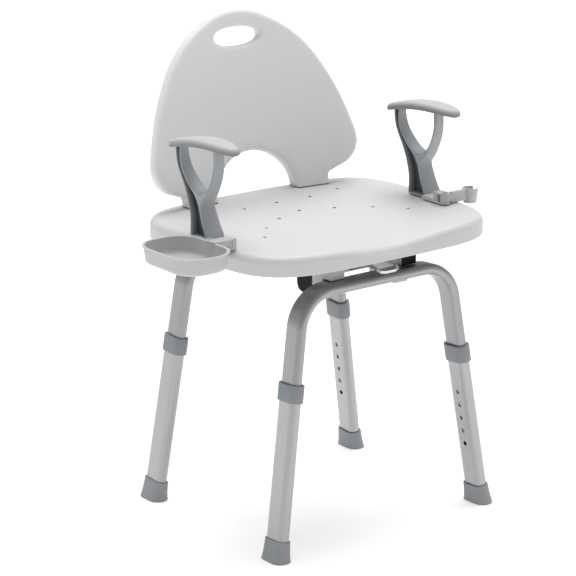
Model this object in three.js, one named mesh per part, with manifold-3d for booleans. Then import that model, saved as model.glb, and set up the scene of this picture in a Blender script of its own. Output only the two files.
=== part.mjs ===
import * as THREE from "three";
import { mergeVertices } from "three/addons/utils/BufferGeometryUtils.js";
import Module from "manifold-3d";

// Swivel bath seat. Sizes are in millimetres, +Z is up, the sitter looks along -Y.
// The origin is on the floor, midway between the four feet.

const wasm = await Module();
wasm.setup();

// Shared values
const gap = 0.3;
const overlap = 1;
const mergeTolerance = 0.001;
const quarterTurn = Math.PI / 2;
// Share of its radius by which the middle of a rounded corner stands in from the square corner
const cornerShare = 1 - Math.SQRT1_2;
const sides = [-1, 1];

// Leg frame: foot places, lean of the legs per unit of height, height of the cross bars
const footSpacingX = 440;
const footSpacingY = 356;
const splayX = 0.151;
const splayY = 0.0481;
const barHeight = 437;
const bendRadius = 66;
const bendSteps = 6;
const roundSteps = 5;
const boltSteps = 10;
const headSteps = 12;
const rodSteps = 14;
const crossRodSteps = 12;
const hubSteps = 24;
const pinSteps = 16;
const pinHeadSteps = 18;
const hexSides = 6;
const plateCornerSteps = 2;
const seatRoundSteps = 3;
const padRoundSteps = 2;
const handHoleSteps = 8;
const tabSteps = 6;

// Oval tubes: half sizes across the frame plane and along it
const tubeHalfX = 9.5;
const tubeHalfY = 21;
const tubeWall = 1.5;
const lowerWall = 1.2;
const lowerHalfX = tubeHalfX + gap + lowerWall;
const lowerHalfY = tubeHalfY + gap + lowerWall;

// Places along a leg, measured up from its foot point on the floor
const lowerStart = 8;
const tubeEnd = 122;
const lowerEnd = 290;
const holeCentre = 160.9;
const holePitch = 24.2;
const holeRadius = 3.5;
const holeReach = 2;
const holesEachWay = 2;
const collarStart = 266;
const collarTop = 296;
const collarWall = 3.4;
const tipTop = 34.5;
const tipWall = 2.9;
const tipFlare = 6.5;
const tipFlareTop = 21;
const tipFlareShare = 0.55;

// Snap buttons that hold the legs in their holes, drawn pressed in, so that the legs are free to slide.
// buttonProud is how far the shank stands out of the leg once the button has sprung out.
const buttonRadius = 3.2;
const buttonProud = 1.2;
const buttonFlangeRadius = 5;
const buttonFlangeThick = 1.2;
const buttonFlangeSetback = 0.5;
const buttonNose = 1;
const springStripThick = 0.8;
const springStripHalfWidth = 4;
const springStripLength = 34;
const springStripOverhang = 6;

// Rails on the cross bars
const railCentreX = 76;
const railWidth = 28;
const railEndY = 157;
const railRise = 29;
const railTopZ = barHeight + railRise;
const railHangDrop = 25;
const railHangZ = barHeight - railHangDrop;
const railHangInnerY = 66;
const railHangRound = 12;
const railArchRise = 13;
const railArchZ = barHeight + railArchRise;
const railArchY = 52;
const railBoltY = 150;
const railBoltRadius = 3;
const railBoltReach = 14;
const boltHeadRadius = 5.5;
const boltHeadHeight = 3.6;

// Swivel: lower plate, glide ring, upper plate and the bolt in the middle
const lockRadius = 100;
const lowerPlateHalfX = 92;
const lowerPlateRim = 25;
const lowerPlateHalfY = lockRadius + lowerPlateRim;
const plateThick = 3;
const plateCorner = 12;
const plateBoltInset = 13;
const plateBoltY = lowerPlateHalfY - plateBoltInset;
const plateBoltDepth = 16;
const plateHeadHeight = 2.4;
const ringOuter = 75;
const ringInner = 40;
const ringHeight = 6;
const ringSteps = 36;
const upperPlateRim = 12;
const upperPlateRadius = lockRadius + upperPlateRim;
const swivelBoltRadius = 5;
const hexRadius = 9.8;
const boltHexHeight = 6;
const washerRadius = 11;
const washerThick = 2;
const nutHeight = 6;
const boltTail = 3;

const lowerPlateZ = railTopZ + gap;
const lowerPlateTop = lowerPlateZ + plateThick;
const ringZ = lowerPlateTop + gap;
const upperPlateZ = ringZ + ringHeight + gap;
const upperPlateTop = upperPlateZ + plateThick;
const bossZ = upperPlateTop + gap;

// Seat lock: lever, pin and spring in front of the swivel bolt, at lockRadius from it
const lockPinRadius = 5;
const lockStemRadius = 3;
const lockCollarRadius = 8;
const lockCollarHeight = 4;
const lockEngage = 2;
const stopHeight = 3;
const stopHalfDepth = 7;
const stopWidth = 9;
const leverPinSetback = 28;
const leverPinY = lockRadius + leverPinSetback;
const leverPinDrop = 4;
const leverPinZ = railTopZ - leverPinDrop;
const leverPinRadius = 2.5;
const leverHalfWidth = 22;
const leverStrip = 2.5;
const leverTall = 5;
const leverLength = 56;
const leverBendY = leverPinY + leverLength;
const leverLip = 17;
const leverLipSlope = 0.39;
const leverArmDrop = 3.5;
const leverArmZ = railTopZ - leverArmDrop;
const leverTailDrop = 8.7;
const leverTailZ = railTopZ - leverTailDrop;
const leverTailStrip = 2.5;
const leverPlay = 2;
const leverCheekBack = 16;
const leverCheekFront = 8;
const leverForkReach = 6;
const leverForkRoot = 10;
const leverForkEnd = lockRadius - leverForkReach;
const leverForkStart = lockRadius + leverForkRoot;
const lugThick = 3;
const lugHalfLength = 8;
const lugDrop = 7;
const housingHalfDepth = 10;
const housingWall = 2;
const housingClear = 2;
const housingDrop = 26;
const housingFloorZ = railTopZ - housingDrop;
const lockSpringRadius = 5.4;
const lockSpringWire = 0.8;
const lockSpringTurns = 2.5;
const lockSpringSteps = 24;

// Seat shell
const seatHalfX = 254;
const seatHalfY = 207.5;
const seatCentreY = -2.9;
const seatPower = 4.28;
const seatLift = 1.8;
const seatTall = 33;
const seatBottomZ = bossZ + seatLift;
const seatTopZ = seatBottomZ + seatTall;
const seatRound = 13;
const seatDip = 4;
const seatWall = 3.2;
const seatDeck = 3.6;
const seatSteps = 60;
const pocketSteps = 32;
const rollDrop = 13;
const rollHalfWidth = 82;
const rollDepth = 60;
const ribThick = 2.6;
const ribXShares = [-0.69, -0.405, -0.138, 0.138, 0.405, 0.69];
const ribYShares = [-0.675, -0.337, 0, 0.337, 0.675];
const ribX = ribXShares.map((share) => share * seatHalfX);
const ribY = ribYShares.map((share) => share * seatHalfY);
const hubRadius = 16;
const screwPlace = 60;
const screwRadius = 2.5;
const screwReach = 16;
const screwHeadHeight = 2.2;
const bossRadius = 7;
const drainRadius = 3.5;
const drainSteps = 8;
const drainShares = [
  [0, 0.53], [0.276, 0.52], [0.551, 0.578], [0, 0.222], [0.232, 0.116], [0.445, -0.063], [0.598, -0.294],
];
const drainHoles = drainShares.map(([x, y]) => [x * seatHalfX, y * seatHalfY]);
const socketWall = 3;

// Backrest: x and height along its slope, above the seat top
const backLean = 11 * (Math.PI / 180);
const backInset = 42;
const backY = seatHalfY - backInset;
const backThick = 26;
const backRound = 11;
const backBow = 24;
const backBowWidth = 214;
const tabInner = 90.4;
const tabOuter = 149.1;
const tabThick = 29;
const tabDepth = 24;
const backCentre = [0, 150];
const backHalfWide = 217;
const backTall = 322;
const backHalfShares = [
  [0, 1], [0.138, 0.991], [0.276, 0.957], [0.429, 0.901], [0.544, 0.842], [0.65, 0.767],
  [0.756, 0.665], [0.866, 0.522], [0.94, 0.388], [0.986, 0.286], [1, 0.224], [0.991, 0.18],
  [0.959, 0.137], [0.903, 0.102], [0.839, 0.084], [0.765, 0.068], [0.7, 0.056],
];
const backHalf = backHalfShares.map(([x, rise]) => [x * backHalfWide, rise * backTall]);
const backSmoothSteps = 17;
const archRadius = 87;
const archCentre = -10;
const archSteps = 26;
const handHoleInset = 46;
const handHoleHeight = backTall - handHoleInset;
const handHoleHalfX = 43;
const handHoleHalfY = 14.5;

// Arms: Y and height above the seat top, seen from the side
const armInset = 23;
const armX = seatHalfX - armInset;
const postBaseHalf = 19;
const postTopHalf = 8.3;
const postTopHeight = 140;
const postReach = 67;
const postTall = 162;
const postShares = [
  [-0.493, 0], [0.194, 0], [0.209, 0.154], [0.239, 0.222], [0.313, 0.302], [0.418, 0.401],
  [0.582, 0.506], [0.806, 0.63], [0.925, 0.722], [0.985, 0.84], [1, 0.926], [0.776, 0.926],
  [0.761, 0.852], [0.746, 0.765], [0.657, 0.667], [0.493, 0.593], [0.284, 0.512], [0.06, 0.463],
  [-0.134, 0.451], [-0.254, 0.469], [-0.358, 0.506], [-0.463, 0.549], [-0.552, 0.636],
  [-0.612, 0.735], [-0.612, 0.809], [-0.582, 0.877], [-0.567, 1], [-0.746, 1], [-0.746, 0.87],
  [-0.731, 0.79], [-0.672, 0.673], [-0.567, 0.58], [-0.448, 0.494], [-0.328, 0.42],
  [-0.209, 0.37], [-0.179, 0.333], [-0.254, 0.235], [-0.358, 0.136],
];
const grooveShares = [
  [-0.388, 0.037], [0.134, 0.037], [0.149, 0.154], [0.179, 0.235], [0.254, 0.315],
  [0.358, 0.407], [0.522, 0.519], [0.746, 0.642], [0.851, 0.716], [0.896, 0.784], [0.806, 0.71],
  [0.657, 0.648], [0.448, 0.58], [0.209, 0.506], [0.06, 0.432], [-0.06, 0.333], [-0.149, 0.235],
  [-0.254, 0.136],
];
const alongPost = ([y, rise]) => [y * postReach, rise * postTall];
const postProfile = postShares.map(alongPost);
const groovePath = grooveShares.map(alongPost);
const grooveDepth = 4;
const tenonHalfX = 13;
const tenonHalfY = 15;
const tenonCentreY = -10;
const tenonDepth = 24;
const postBossHalfX = 10;
const postBossHeight = 7;
// Blocks on top of each post that carry the pad: Y from and to as shares of the post's reach, and the
// height as a share of its own
const postBossShares = [[0.731, 1.045, 0.864], [-0.791, -0.537, 0.926]];
const postBosses = postBossShares.map(([y0, y1, rise]) => [y0 * postReach, y1 * postReach, rise * postTall]);
const padHalfX = 22;
const padRearY = 88;
const padFrontY = -95;
const padRearRise = 137.6;
const padFrontRise = 155;
const padArch = 12.5;
const padThick = 12.5;
const padRound = 5.2;
const padCrown = 2.5;
const padPower = 2.2;
const padSteps = 28;

// Soap dish on the left arm
const dishOffset = 101;
const dishX = -armX - dishOffset;
const dishY = -91;
const dishHalfX = 56;
const dishHalfY = 76.5;
const dishCorner = 45;
const dishRimRise = 18;
const dishRimZ = seatTopZ + dishRimRise;
const dishDepth = 27;
const dishWall = 2.3;
const dishRim = 3;
const dishDraft = 4;
const dishRound = 6;
const dishBlockOffset = 8;
const dishBlockInnerX = armX + dishBlockOffset;
const dishBlockFrontY = 104;
const dishBlockDepth = 20;
const dishBlockRise = 20;
const dishBlockTopZ = seatTopZ + dishBlockRise;
const clipLift = 1;
const clipZ = seatTopZ + clipLift;
const clipHeight = 6;
const clipReach = 12;
const clipWall = 4;
const clipArmWall = 9;
const dishWebFrontY = 80;
const dishWebBackY = 50;
const dishArmBackY = 10;
const dishWallEmbed = 6.6;

// Shower holder on the right arm
const holderInset = 17;
const holderX = armX - holderInset;
const holderY = -84;
const holderLugRadius = 9;
const holderHubRadius = 8.4;
const holderTall = 19;
const holderLowZ = clipZ;
const holderTopZ = holderLowZ + holderTall;
const holderLugThick = 3;
const holderWebStart = 9.6;
const holderWebEnd = 44;
const holderBarHalf = 4;
const holderBarClear = 2.6;
const socketX = 57;
const socketTopRadius = 14;
const socketBottomRadius = 11.5;
const socketWallThick = 2.6;
const socketDrop = 6;
const socketRise = 1;
const socketLowZ = holderLowZ - socketDrop;
const socketHighZ = holderTopZ + socketRise;
const socketSlotHalf = 6;
const holderPinRadius = 2.5;
const holderPinHead = 5;
const holderPinHeadHeight = 1.8;

// Colours as seen
const white = new THREE.MeshStandardMaterial({ color: "#e6e7e8", roughness: 0.5 });
const armGrey = new THREE.MeshStandardMaterial({ color: "#8d9296", roughness: 0.55 });
const padGrey = new THREE.MeshStandardMaterial({ color: "#c4c6c7", roughness: 0.6 });
const trayGrey = new THREE.MeshStandardMaterial({ color: "#acaeb0", roughness: 0.55 });
const collarGrey = new THREE.MeshStandardMaterial({ color: "#868b8f", roughness: 0.6 });
const rubberGrey = new THREE.MeshStandardMaterial({ color: "#7f8487", roughness: 0.85 });
const black = new THREE.MeshStandardMaterial({ color: "#232425", roughness: 0.5 });
const aluminium = new THREE.MeshStandardMaterial({ color: "#c3c5c7", roughness: 0.35, metalness: 0.9 });
const steel = new THREE.MeshStandardMaterial({ color: "#b4b6b8", roughness: 0.3, metalness: 1 });
const ringWhite = new THREE.MeshStandardMaterial({ color: "#d9dadb", roughness: 0.4 });

// A closed manifold from any three.js geometry
function solid(geometry) {
  const bare = new THREE.BufferGeometry();
  bare.setAttribute("position", geometry.getAttribute("position").clone());
  if (geometry.index) bare.setIndex(geometry.index.clone());
  const merged = mergeVertices(bare, mergeTolerance);
  const old = merged.index.array;
  const index = [];
  for (let i = 0; i < old.length; i += 3) {
    const [a, b, c] = [old[i], old[i + 1], old[i + 2]];
    if (a !== b && b !== c && c !== a) index.push(a, b, c);
  }
  const position = merged.getAttribute("position");
  const corner = [new THREE.Vector3(), new THREE.Vector3(), new THREE.Vector3()];
  let volume = 0;
  for (let i = 0; i < index.length; i += 3) {
    corner.forEach((vertex, k) => vertex.fromBufferAttribute(position, index[i + k]));
    volume += corner[0].dot(corner[1].clone().cross(corner[2]));
  }
  if (volume < 0) index.reverse();
  return new wasm.Manifold(new wasm.Mesh({
    numProp: 3,
    vertProperties: new Float32Array(position.array),
    triVerts: new Uint32Array(index),
  }));
}

function cut(body, ...tools) {
  return tools.reduce((result, tool) => result.subtract(tool), body);
}

function join(...bodies) {
  return bodies.reduce((result, body) => result.add(body));
}

function mesh(name, body, material, parent) {
  const source = body.getMesh();
  const geometry = new THREE.BufferGeometry();
  geometry.setAttribute("position", new THREE.BufferAttribute(new Float32Array(source.vertProperties), 3));
  geometry.setIndex(new THREE.BufferAttribute(new Uint32Array(source.triVerts), 1));
  geometry.computeVertexNormals();
  const node = new THREE.Mesh(geometry, material);
  node.name = name;
  parent.add(node);
  return node;
}

function moved(geometry, position, rotation = [0, 0, 0]) {
  const turn = new THREE.Quaternion().setFromEuler(new THREE.Euler(...rotation));
  const place = new THREE.Vector3(...position);
  return geometry.applyMatrix4(new THREE.Matrix4().compose(place, turn, new THREE.Vector3(1, 1, 1)));
}

// Box between two values on each axis
function boxGeometry(x0, x1, y0, y1, z0, z1) {
  const geometry = new THREE.BoxGeometry(x1 - x0, y1 - y0, z1 - z0);
  return moved(geometry, [(x0 + x1) / 2, (y0 + y1) / 2, (z0 + z1) / 2]);
}

function box(...limits) {
  return solid(boxGeometry(...limits));
}

// Upright rod between two heights
function rodGeometry(radius, x, y, z0, z1, steps = rodSteps, topRadius = radius) {
  const geometry = new THREE.CylinderGeometry(topRadius, radius, z1 - z0, steps);
  return moved(geometry, [x, y, (z0 + z1) / 2], [quarterTurn, 0, 0]);
}

function rod(...sizes) {
  return solid(rodGeometry(...sizes));
}

// Rod along X between two values
function crossRod(radius, x0, x1, y, z, steps = crossRodSteps) {
  const geometry = new THREE.CylinderGeometry(radius, radius, x1 - x0, steps);
  return moved(geometry, [(x0 + x1) / 2, y, z], [0, 0, quarterTurn]);
}

function points2d(list) {
  return list.map(([x, y]) => new THREE.Vector2(x, y));
}

// Upright prism of a plan outline
function prism(outline, z0, z1) {
  const settings = { depth: z1 - z0, bevelEnabled: false };
  const geometry = new THREE.ExtrudeGeometry(new THREE.Shape(outline), settings);
  return moved(geometry, [0, 0, z0]);
}

// Prism of a side outline (Y, Z) between two X values
function sidePrism(outline, x0, x1) {
  const settings = { depth: x1 - x0, bevelEnabled: false };
  const geometry = new THREE.ExtrudeGeometry(new THREE.Shape(outline), settings);
  const basis = new THREE.Matrix4().makeBasis(
    new THREE.Vector3(0, 1, 0), new THREE.Vector3(0, 0, 1), new THREE.Vector3(1, 0, 0));
  geometry.applyMatrix4(basis);
  return moved(geometry, [x0, 0, 0]);
}

// Stadium outline: two half circles joined by straights along the longer half size
function stadium(halfX, halfY, steps = roundSteps) {
  const tall = halfY > halfX;
  const radius = Math.min(halfX, halfY);
  const offset = Math.abs(halfY - halfX);
  const outline = [];
  for (const side of [1, -1]) {
    for (let i = 0; i <= steps; i += 1) {
      const angle = (side > 0 ? 0 : Math.PI) + (Math.PI * i) / steps;
      const across = radius * Math.cos(angle);
      const along = side * offset + radius * Math.sin(angle);
      outline.push(tall ? new THREE.Vector2(across, along) : new THREE.Vector2(along, -across));
    }
  }
  return outline;
}

function superellipse(halfX, halfY, power, steps) {
  return Array.from({ length: steps }, (unused, i) => {
    const angle = (2 * Math.PI * i) / steps;
    const [c, s] = [Math.cos(angle), Math.sin(angle)];
    const radius = (Math.abs(c / halfX) ** power + Math.abs(s / halfY) ** power) ** (-1 / power);
    return new THREE.Vector2(radius * c, radius * s);
  });
}

function roundedRectangle(halfX, halfY, corner, steps = roundSteps) {
  const outline = [];
  const centres = [[1, 1], [-1, 1], [-1, -1], [1, -1]];
  centres.forEach(([sx, sy], quarter) => {
    for (let i = 0; i <= steps; i += 1) {
      const angle = quarterTurn * (quarter + i / steps);
      outline.push(new THREE.Vector2(
        sx * (halfX - corner) + corner * Math.cos(angle),
        sy * (halfY - corner) + corner * Math.sin(angle)));
    }
  });
  return outline;
}

// Closed body over an outline. Each station gives how far the outline is drawn in, the share of the
// way out from the centre, and a height; the first and last station have share 0. place() bends it.
function formedBody(outline, stations, place = (x, y, z) => [x, y, z], centre = [0, 0]) {
  const profile = stations.map(({ share = 1 }, j) => new THREE.Vector2(share > 0 ? 1 : 0, j));
  const geometry = new THREE.LatheGeometry(profile, outline.length);
  const position = geometry.getAttribute("position");
  const count = outline.length;
  for (let v = 0; v < position.count; v += 1) {
    const ring = Math.floor(v / stations.length) % count;
    const { share = 1, inset = 0, z } = stations[v % stations.length];
    const point = outline[ring];
    const before = outline[(ring + count - 1) % count];
    const after = outline[(ring + 1) % count];
    const along = after.clone().sub(before).normalize();
    const x = centre[0] + (point.x - along.y * inset - centre[0]) * share;
    const y = centre[1] + (point.y + along.x * inset - centre[1]) * share;
    position.setXYZ(v, ...place(x, y, z));
  }
  return geometry;
}

// Stations of a quarter-round edge, from the wall up to the top (or down to the bottom)
function roundedEdge(radius, z, upward, steps, inset = 0) {
  return Array.from({ length: steps }, (unused, i) => {
    const angle = (quarterTurn * (i + 1)) / steps;
    return {
      inset: inset + radius * (1 - Math.cos(angle)),
      z: z + (upward ? 1 : -1) * radius * Math.sin(angle),
    };
  });
}

const bathSeat = new THREE.Group();
bathSeat.name = "swivel_bath_seat";

function groupIn(parent, name, position = [0, 0, 0], rotation = [0, 0, 0]) {
  const group = new THREE.Group();
  group.name = name;
  group.position.set(...position);
  group.rotation.set(...rotation);
  parent.add(group);
  group.updateWorldMatrix(true, false);
  return group;
}

// Frame tubes: stations along the bent centre line, so that straights need only their ends
class StationPath extends THREE.Curve {
  constructor(stations) {
    super();
    this.stations = stations;
  }

  station(t) {
    return this.stations[Math.round(t * (this.stations.length - 1))];
  }

  getUtoTmapping(u) {
    return u;
  }

  getPoint(t) {
    return this.station(t).point.clone();
  }

  getTangent(t) {
    return this.station(t).tangent.clone();
  }
}

const tiltY = Math.atan(splayY);
const tiltX = Math.atan(splayX * Math.cos(tiltY));
const barY = footSpacingY / 2 - splayY * barHeight;
const cornerX = footSpacingX / 2 - splayX * barHeight;
const footDrop = barHeight / Math.cos(tiltY);
const legLength = footDrop / Math.cos(tiltX);
const bendAngle = quarterTurn - tiltX;
const bendTangent = bendRadius * Math.tan(bendAngle / 2);

function frameStations() {
  const half = [];
  const legDirection = new THREE.Vector3(-Math.sin(tiltX), 0, Math.cos(tiltX));
  const corner = new THREE.Vector3(cornerX, 0, 0);
  const bendStart = corner.clone().addScaledVector(legDirection, -bendTangent);
  const centre = bendStart.clone().addScaledVector(
    new THREE.Vector3(-Math.cos(tiltX), 0, -Math.sin(tiltX)), bendRadius);
  const legEnd = corner.clone().addScaledVector(legDirection, tubeEnd - legLength);
  half.push({ point: legEnd, tangent: legDirection });
  for (let i = 0; i <= bendSteps; i += 1) {
    const angle = tiltX + (bendAngle * i) / bendSteps;
    const outward = new THREE.Vector3(Math.cos(angle), 0, Math.sin(angle));
    half.push({
      point: centre.clone().addScaledVector(outward, bendRadius),
      tangent: new THREE.Vector3(-Math.sin(angle), 0, Math.cos(angle)),
    });
  }
  const mirrored = half.map(({ point, tangent }) => ({
    point: new THREE.Vector3(-point.x, 0, point.z),
    tangent: new THREE.Vector3(tangent.x, 0, -tangent.z),
  }));
  return [...half, ...mirrored.reverse()];
}

function ovalTube(halfX, halfY, wall, z0, z1) {
  const outer = solid(prism(stadium(halfX, halfY), z0, z1));
  return cut(outer, solid(prism(stadium(halfX - wall, halfY - wall), z0 - overlap, z1 + overlap)));
}

const frames = groupIn(bathSeat, "base");
const headTopZ = barHeight - tubeHalfX / Math.cos(tiltY) - boltHeadRadius * Math.sin(tiltY) - gap;
const saddleZ = barHeight + tubeHalfX / Math.cos(tiltY) + tubeHalfY * Math.sin(tiltY) + gap;

for (const sideY of sides) {
  const end = sideY < 0 ? "front" : "rear";
  const frame = groupIn(frames, `${end}_frame`, [0, sideY * barY, barHeight], [sideY * tiltY, 0, 0]);
  const toFrame = frame.matrixWorld.clone().invert();
  const stations = frameStations();
  const section = new THREE.Shape(stadium(tubeHalfY, tubeHalfX));
  section.holes.push(new THREE.Path(stadium(tubeHalfY - tubeWall, tubeHalfX - tubeWall)));
  let frameTube = solid(new THREE.ExtrudeGeometry(section, {
    steps: stations.length - 1,
    extrudePath: new StationPath(stations),
  }));
  for (const sideX of sides) {
    const wing = sideX < 0 ? "left" : "right";
    const leg = groupIn(frame, `${end}_${wing}_leg_group`,
      [sideX * footSpacingX / 2, 0, -footDrop], [0, -sideX * tiltX, 0]);
    const legInFrame = leg.matrix.clone();
    const toLeg = leg.matrixWorld.clone().invert();
    const inward = -sideX;
    const across = (near, far) => [inward * near, inward * far].sort((a, b) => a - b);
    const holeAt = (height) => crossRod(holeRadius, ...across(0, lowerHalfX + holeReach), 0, height);

    frameTube = cut(frameTube, solid(holeAt(holeCentre).applyMatrix4(legInFrame)));
    const boltHole = rodGeometry(railBoltRadius + gap, sideX * railCentreX, sideY * railBoltY,
      headTopZ - holeReach, saddleZ + holeReach, boltSteps);
    frameTube = cut(frameTube, solid(boltHole.applyMatrix4(toFrame)));

    let lowerLeg = ovalTube(lowerHalfX, lowerHalfY, lowerWall, lowerStart, lowerEnd);
    for (let k = -holesEachWay; k <= holesEachWay; k += 1) {
      lowerLeg = cut(lowerLeg, solid(holeAt(holeCentre + k * holePitch)));
    }
    mesh(`${end}_${wing}_lower_leg`, lowerLeg, aluminium, leg);

    const collarOutline = stadium(lowerHalfX + collarWall, lowerHalfY + collarWall);
    const collarOuter = prism(collarOutline, collarStart, collarTop);
    const lowerFit = stadium(lowerHalfX + gap, lowerHalfY + gap);
    const lowerBore = prism(lowerFit, collarStart - overlap, lowerEnd + gap);
    const upperBore = prism(stadium(tubeHalfX + gap, tubeHalfY + gap), lowerEnd, collarTop + overlap);
    const collar = cut(solid(collarOuter), solid(lowerBore), solid(upperBore));
    mesh(`${end}_${wing}_collar`, collar, collarGrey, leg);

    const tipOutline = stadium(lowerHalfX, lowerHalfY);
    const tipBody = solid(formedBody(tipOutline, [
      { share: 0, z: -lowerStart },
      { inset: -tipFlare, z: -lowerStart },
      { inset: -tipFlare, z: tipFlareTop * (1 - tipFlareShare) },
      { inset: -tipFlare * tipFlareShare, z: tipFlareTop },
      { inset: -tipWall, z: tipTop },
      { share: 0, z: tipTop },
    ]));
    const tipBore = solid(prism(lowerFit, lowerStart - gap, tipTop + overlap));
    const floorReach = 2 * lowerHalfY;
    const floorBox = boxGeometry(-floorReach, floorReach, -floorReach, floorReach, -floorReach, 0);
    const floorPlace = [sideX * footSpacingX / 2, sideY * footSpacingY / 2, 0];
    const floor = solid(moved(floorBox, floorPlace).applyMatrix4(toLeg));
    mesh(`${end}_${wing}_foot`, cut(tipBody, tipBore, floor), rubberGrey, leg);

    const buttonTravel = buttonProud + buttonNose + lowerWall + gap;
    const flangeFace = tubeHalfX - tubeWall - buttonFlangeSetback - buttonTravel;
    const buttonEnd = lowerHalfX + buttonProud - buttonTravel;
    const round = (radius, near, far) => solid(crossRod(radius, ...across(near, far), 0, holeCentre));
    const button = join(
      round(buttonRadius, flangeFace - overlap, buttonEnd),
      round(buttonRadius - buttonNose, flangeFace, buttonEnd + buttonNose),
      round(buttonFlangeRadius, flangeFace - buttonFlangeThick, flangeFace));
    mesh(`${end}_${wing}_button`, button, steel, leg);

    const springFront = flangeFace - buttonFlangeThick - gap;
    const springBack = -(tubeHalfX - tubeWall - gap);
    const springTop = holeCentre + springStripLength;
    const springLow = holeCentre - springStripOverhang;
    const strip = points2d([
      [springFront, springLow], [springFront, holeCentre + springStripOverhang],
      [springStripThick, springTop], [-springStripThick, springTop],
      [springBack, springLow], [springBack + springStripThick, springLow],
      [0, springTop - 2 * springStripThick],
      [springFront - springStripThick, holeCentre + springStripOverhang],
      [springFront - springStripThick, springLow],
    ]);
    const vSpring = new THREE.ExtrudeGeometry(new THREE.Shape(strip), {
      depth: 2 * springStripHalfWidth,
      bevelEnabled: false,
    });
    moved(vSpring, [0, 0, -springStripHalfWidth]);
    moved(vSpring, [0, 0, 0], [quarterTurn, 0, 0]);
    if (inward < 0) moved(vSpring, [0, 0, 0], [0, 0, Math.PI]);
    mesh(`${end}_${wing}_snap_spring`, solid(vSpring), steel, leg);

    const boltPlace = [sideX * railCentreX, sideY * railBoltY];
    const railBolt = join(
      rod(boltHeadRadius, ...boltPlace, headTopZ - boltHeadHeight, headTopZ, headSteps),
      rod(railBoltRadius, ...boltPlace, headTopZ - overlap, saddleZ + railBoltReach, boltSteps));
    mesh(`${end}_${wing}_rail_bolt`, railBolt, steel, frames);
  }
  mesh(`${end}_frame_tube`, frameTube, aluminium, frame);
}

// Rails
const clampY = barY - tubeHalfY - gap - tubeHalfX * Math.sin(tiltY);
const railHalf = [
  [railEndY, railTopZ], [railEndY, saddleZ], [clampY, saddleZ], [clampY, railHangZ],
  [railHangInnerY + railHangRound, railHangZ],
  [railHangInnerY + railHangRound * cornerShare, railHangZ + railHangRound * cornerShare],
  [railHangInnerY, railHangZ + railHangRound], [railHangInnerY - overlap, railArchZ - railHangRound],
  [railArchY, railArchZ],
];
const railOutline = points2d([...railHalf, ...railHalf.map(([y, z]) => [-y, z]).reverse()]);
for (const sideX of sides) {
  const centre = sideX * railCentreX;
  let rail = solid(sidePrism(railOutline, centre - railWidth / 2, centre + railWidth / 2));
  for (const sideY of sides) {
    rail = cut(rail,
      rod(railBoltRadius + gap, centre, sideY * railBoltY, saddleZ - overlap,
        saddleZ + railBoltReach + gap, boltSteps),
      rod(railBoltRadius + gap, centre, sideY * plateBoltY, railTopZ - plateBoltDepth - gap,
        railTopZ + overlap, boltSteps));
  }
  mesh(sideX < 0 ? "left_rail" : "right_rail", rail, black, frames);
}

// Lower swivel plate with lugs for the lever pin
const plateOutline = roundedRectangle(lowerPlateHalfX, lowerPlateHalfY, plateCorner, plateCornerSteps);
let lowerPlate = solid(prism(plateOutline, lowerPlateZ, lowerPlateTop));
const lugInner = leverHalfWidth + gap;
for (const sideX of sides) {
  const lugLimits = [sideX * lugInner, sideX * (lugInner + lugThick)].sort((a, b) => a - b);
  lowerPlate = join(lowerPlate, box(...lugLimits, -leverPinY - lugHalfLength, -leverPinY + lugHalfLength,
    leverPinZ - lugDrop, lowerPlateTop));
}
const lugReach = lugInner + lugThick;
lowerPlate = cut(lowerPlate,
  solid(crossRod(leverPinRadius + gap, -lugReach - overlap, lugReach + overlap, -leverPinY, leverPinZ)),
  rod(swivelBoltRadius + gap, 0, 0, lowerPlateZ - overlap, lowerPlateTop + overlap),
  rod(lockPinRadius + gap, 0, -lockRadius, lowerPlateZ - overlap, lowerPlateTop + overlap));
for (const sideX of sides) {
  for (const sideY of sides) {
    lowerPlate = cut(lowerPlate, rod(railBoltRadius + gap, sideX * railCentreX, sideY * plateBoltY,
      lowerPlateZ - overlap, lowerPlateTop + overlap, boltSteps));
    const plateBolt = join(
      rod(boltHeadRadius, sideX * railCentreX, sideY * plateBoltY, lowerPlateTop + gap,
        lowerPlateTop + gap + plateHeadHeight, headSteps),
      rod(railBoltRadius, sideX * railCentreX, sideY * plateBoltY, railTopZ - plateBoltDepth,
        lowerPlateTop + gap + plateHeadHeight / 2, boltSteps));
    const name = `${sideY < 0 ? "front" : "rear"}_${sideX < 0 ? "left" : "right"}_plate_bolt`;
    mesh(name, plateBolt, steel, frames);
  }
}
mesh("lower_swivel_plate", lowerPlate, steel, frames);

const ring = cut(rod(ringOuter, 0, 0, ringZ, ringZ + ringHeight, ringSteps),
  rod(ringInner, 0, 0, ringZ - overlap, ringZ + ringHeight + overlap, ringSteps));
mesh("glide_ring", ring, ringWhite, frames);

// Swivel bolt, washer and nut
const washerTop = lowerPlateZ - gap;
const nutTop = washerTop - washerThick - gap;
mesh("swivel_bolt", join(
  rod(hexRadius, 0, 0, bossZ, bossZ + boltHexHeight, hexSides),
  rod(swivelBoltRadius, 0, 0, nutTop - nutHeight - boltTail, bossZ + overlap)), steel, frames);
mesh("swivel_washer", cut(rod(washerRadius, 0, 0, washerTop - washerThick, washerTop),
  rod(swivelBoltRadius + gap, 0, 0, washerTop - washerThick - overlap, washerTop + overlap)), steel, frames);
mesh("swivel_nut", cut(rod(hexRadius, 0, 0, nutTop - nutHeight, nutTop, hexSides),
  rod(swivelBoltRadius + gap, 0, 0, nutTop - nutHeight - overlap, nutTop + overlap)), steel, frames);

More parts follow.
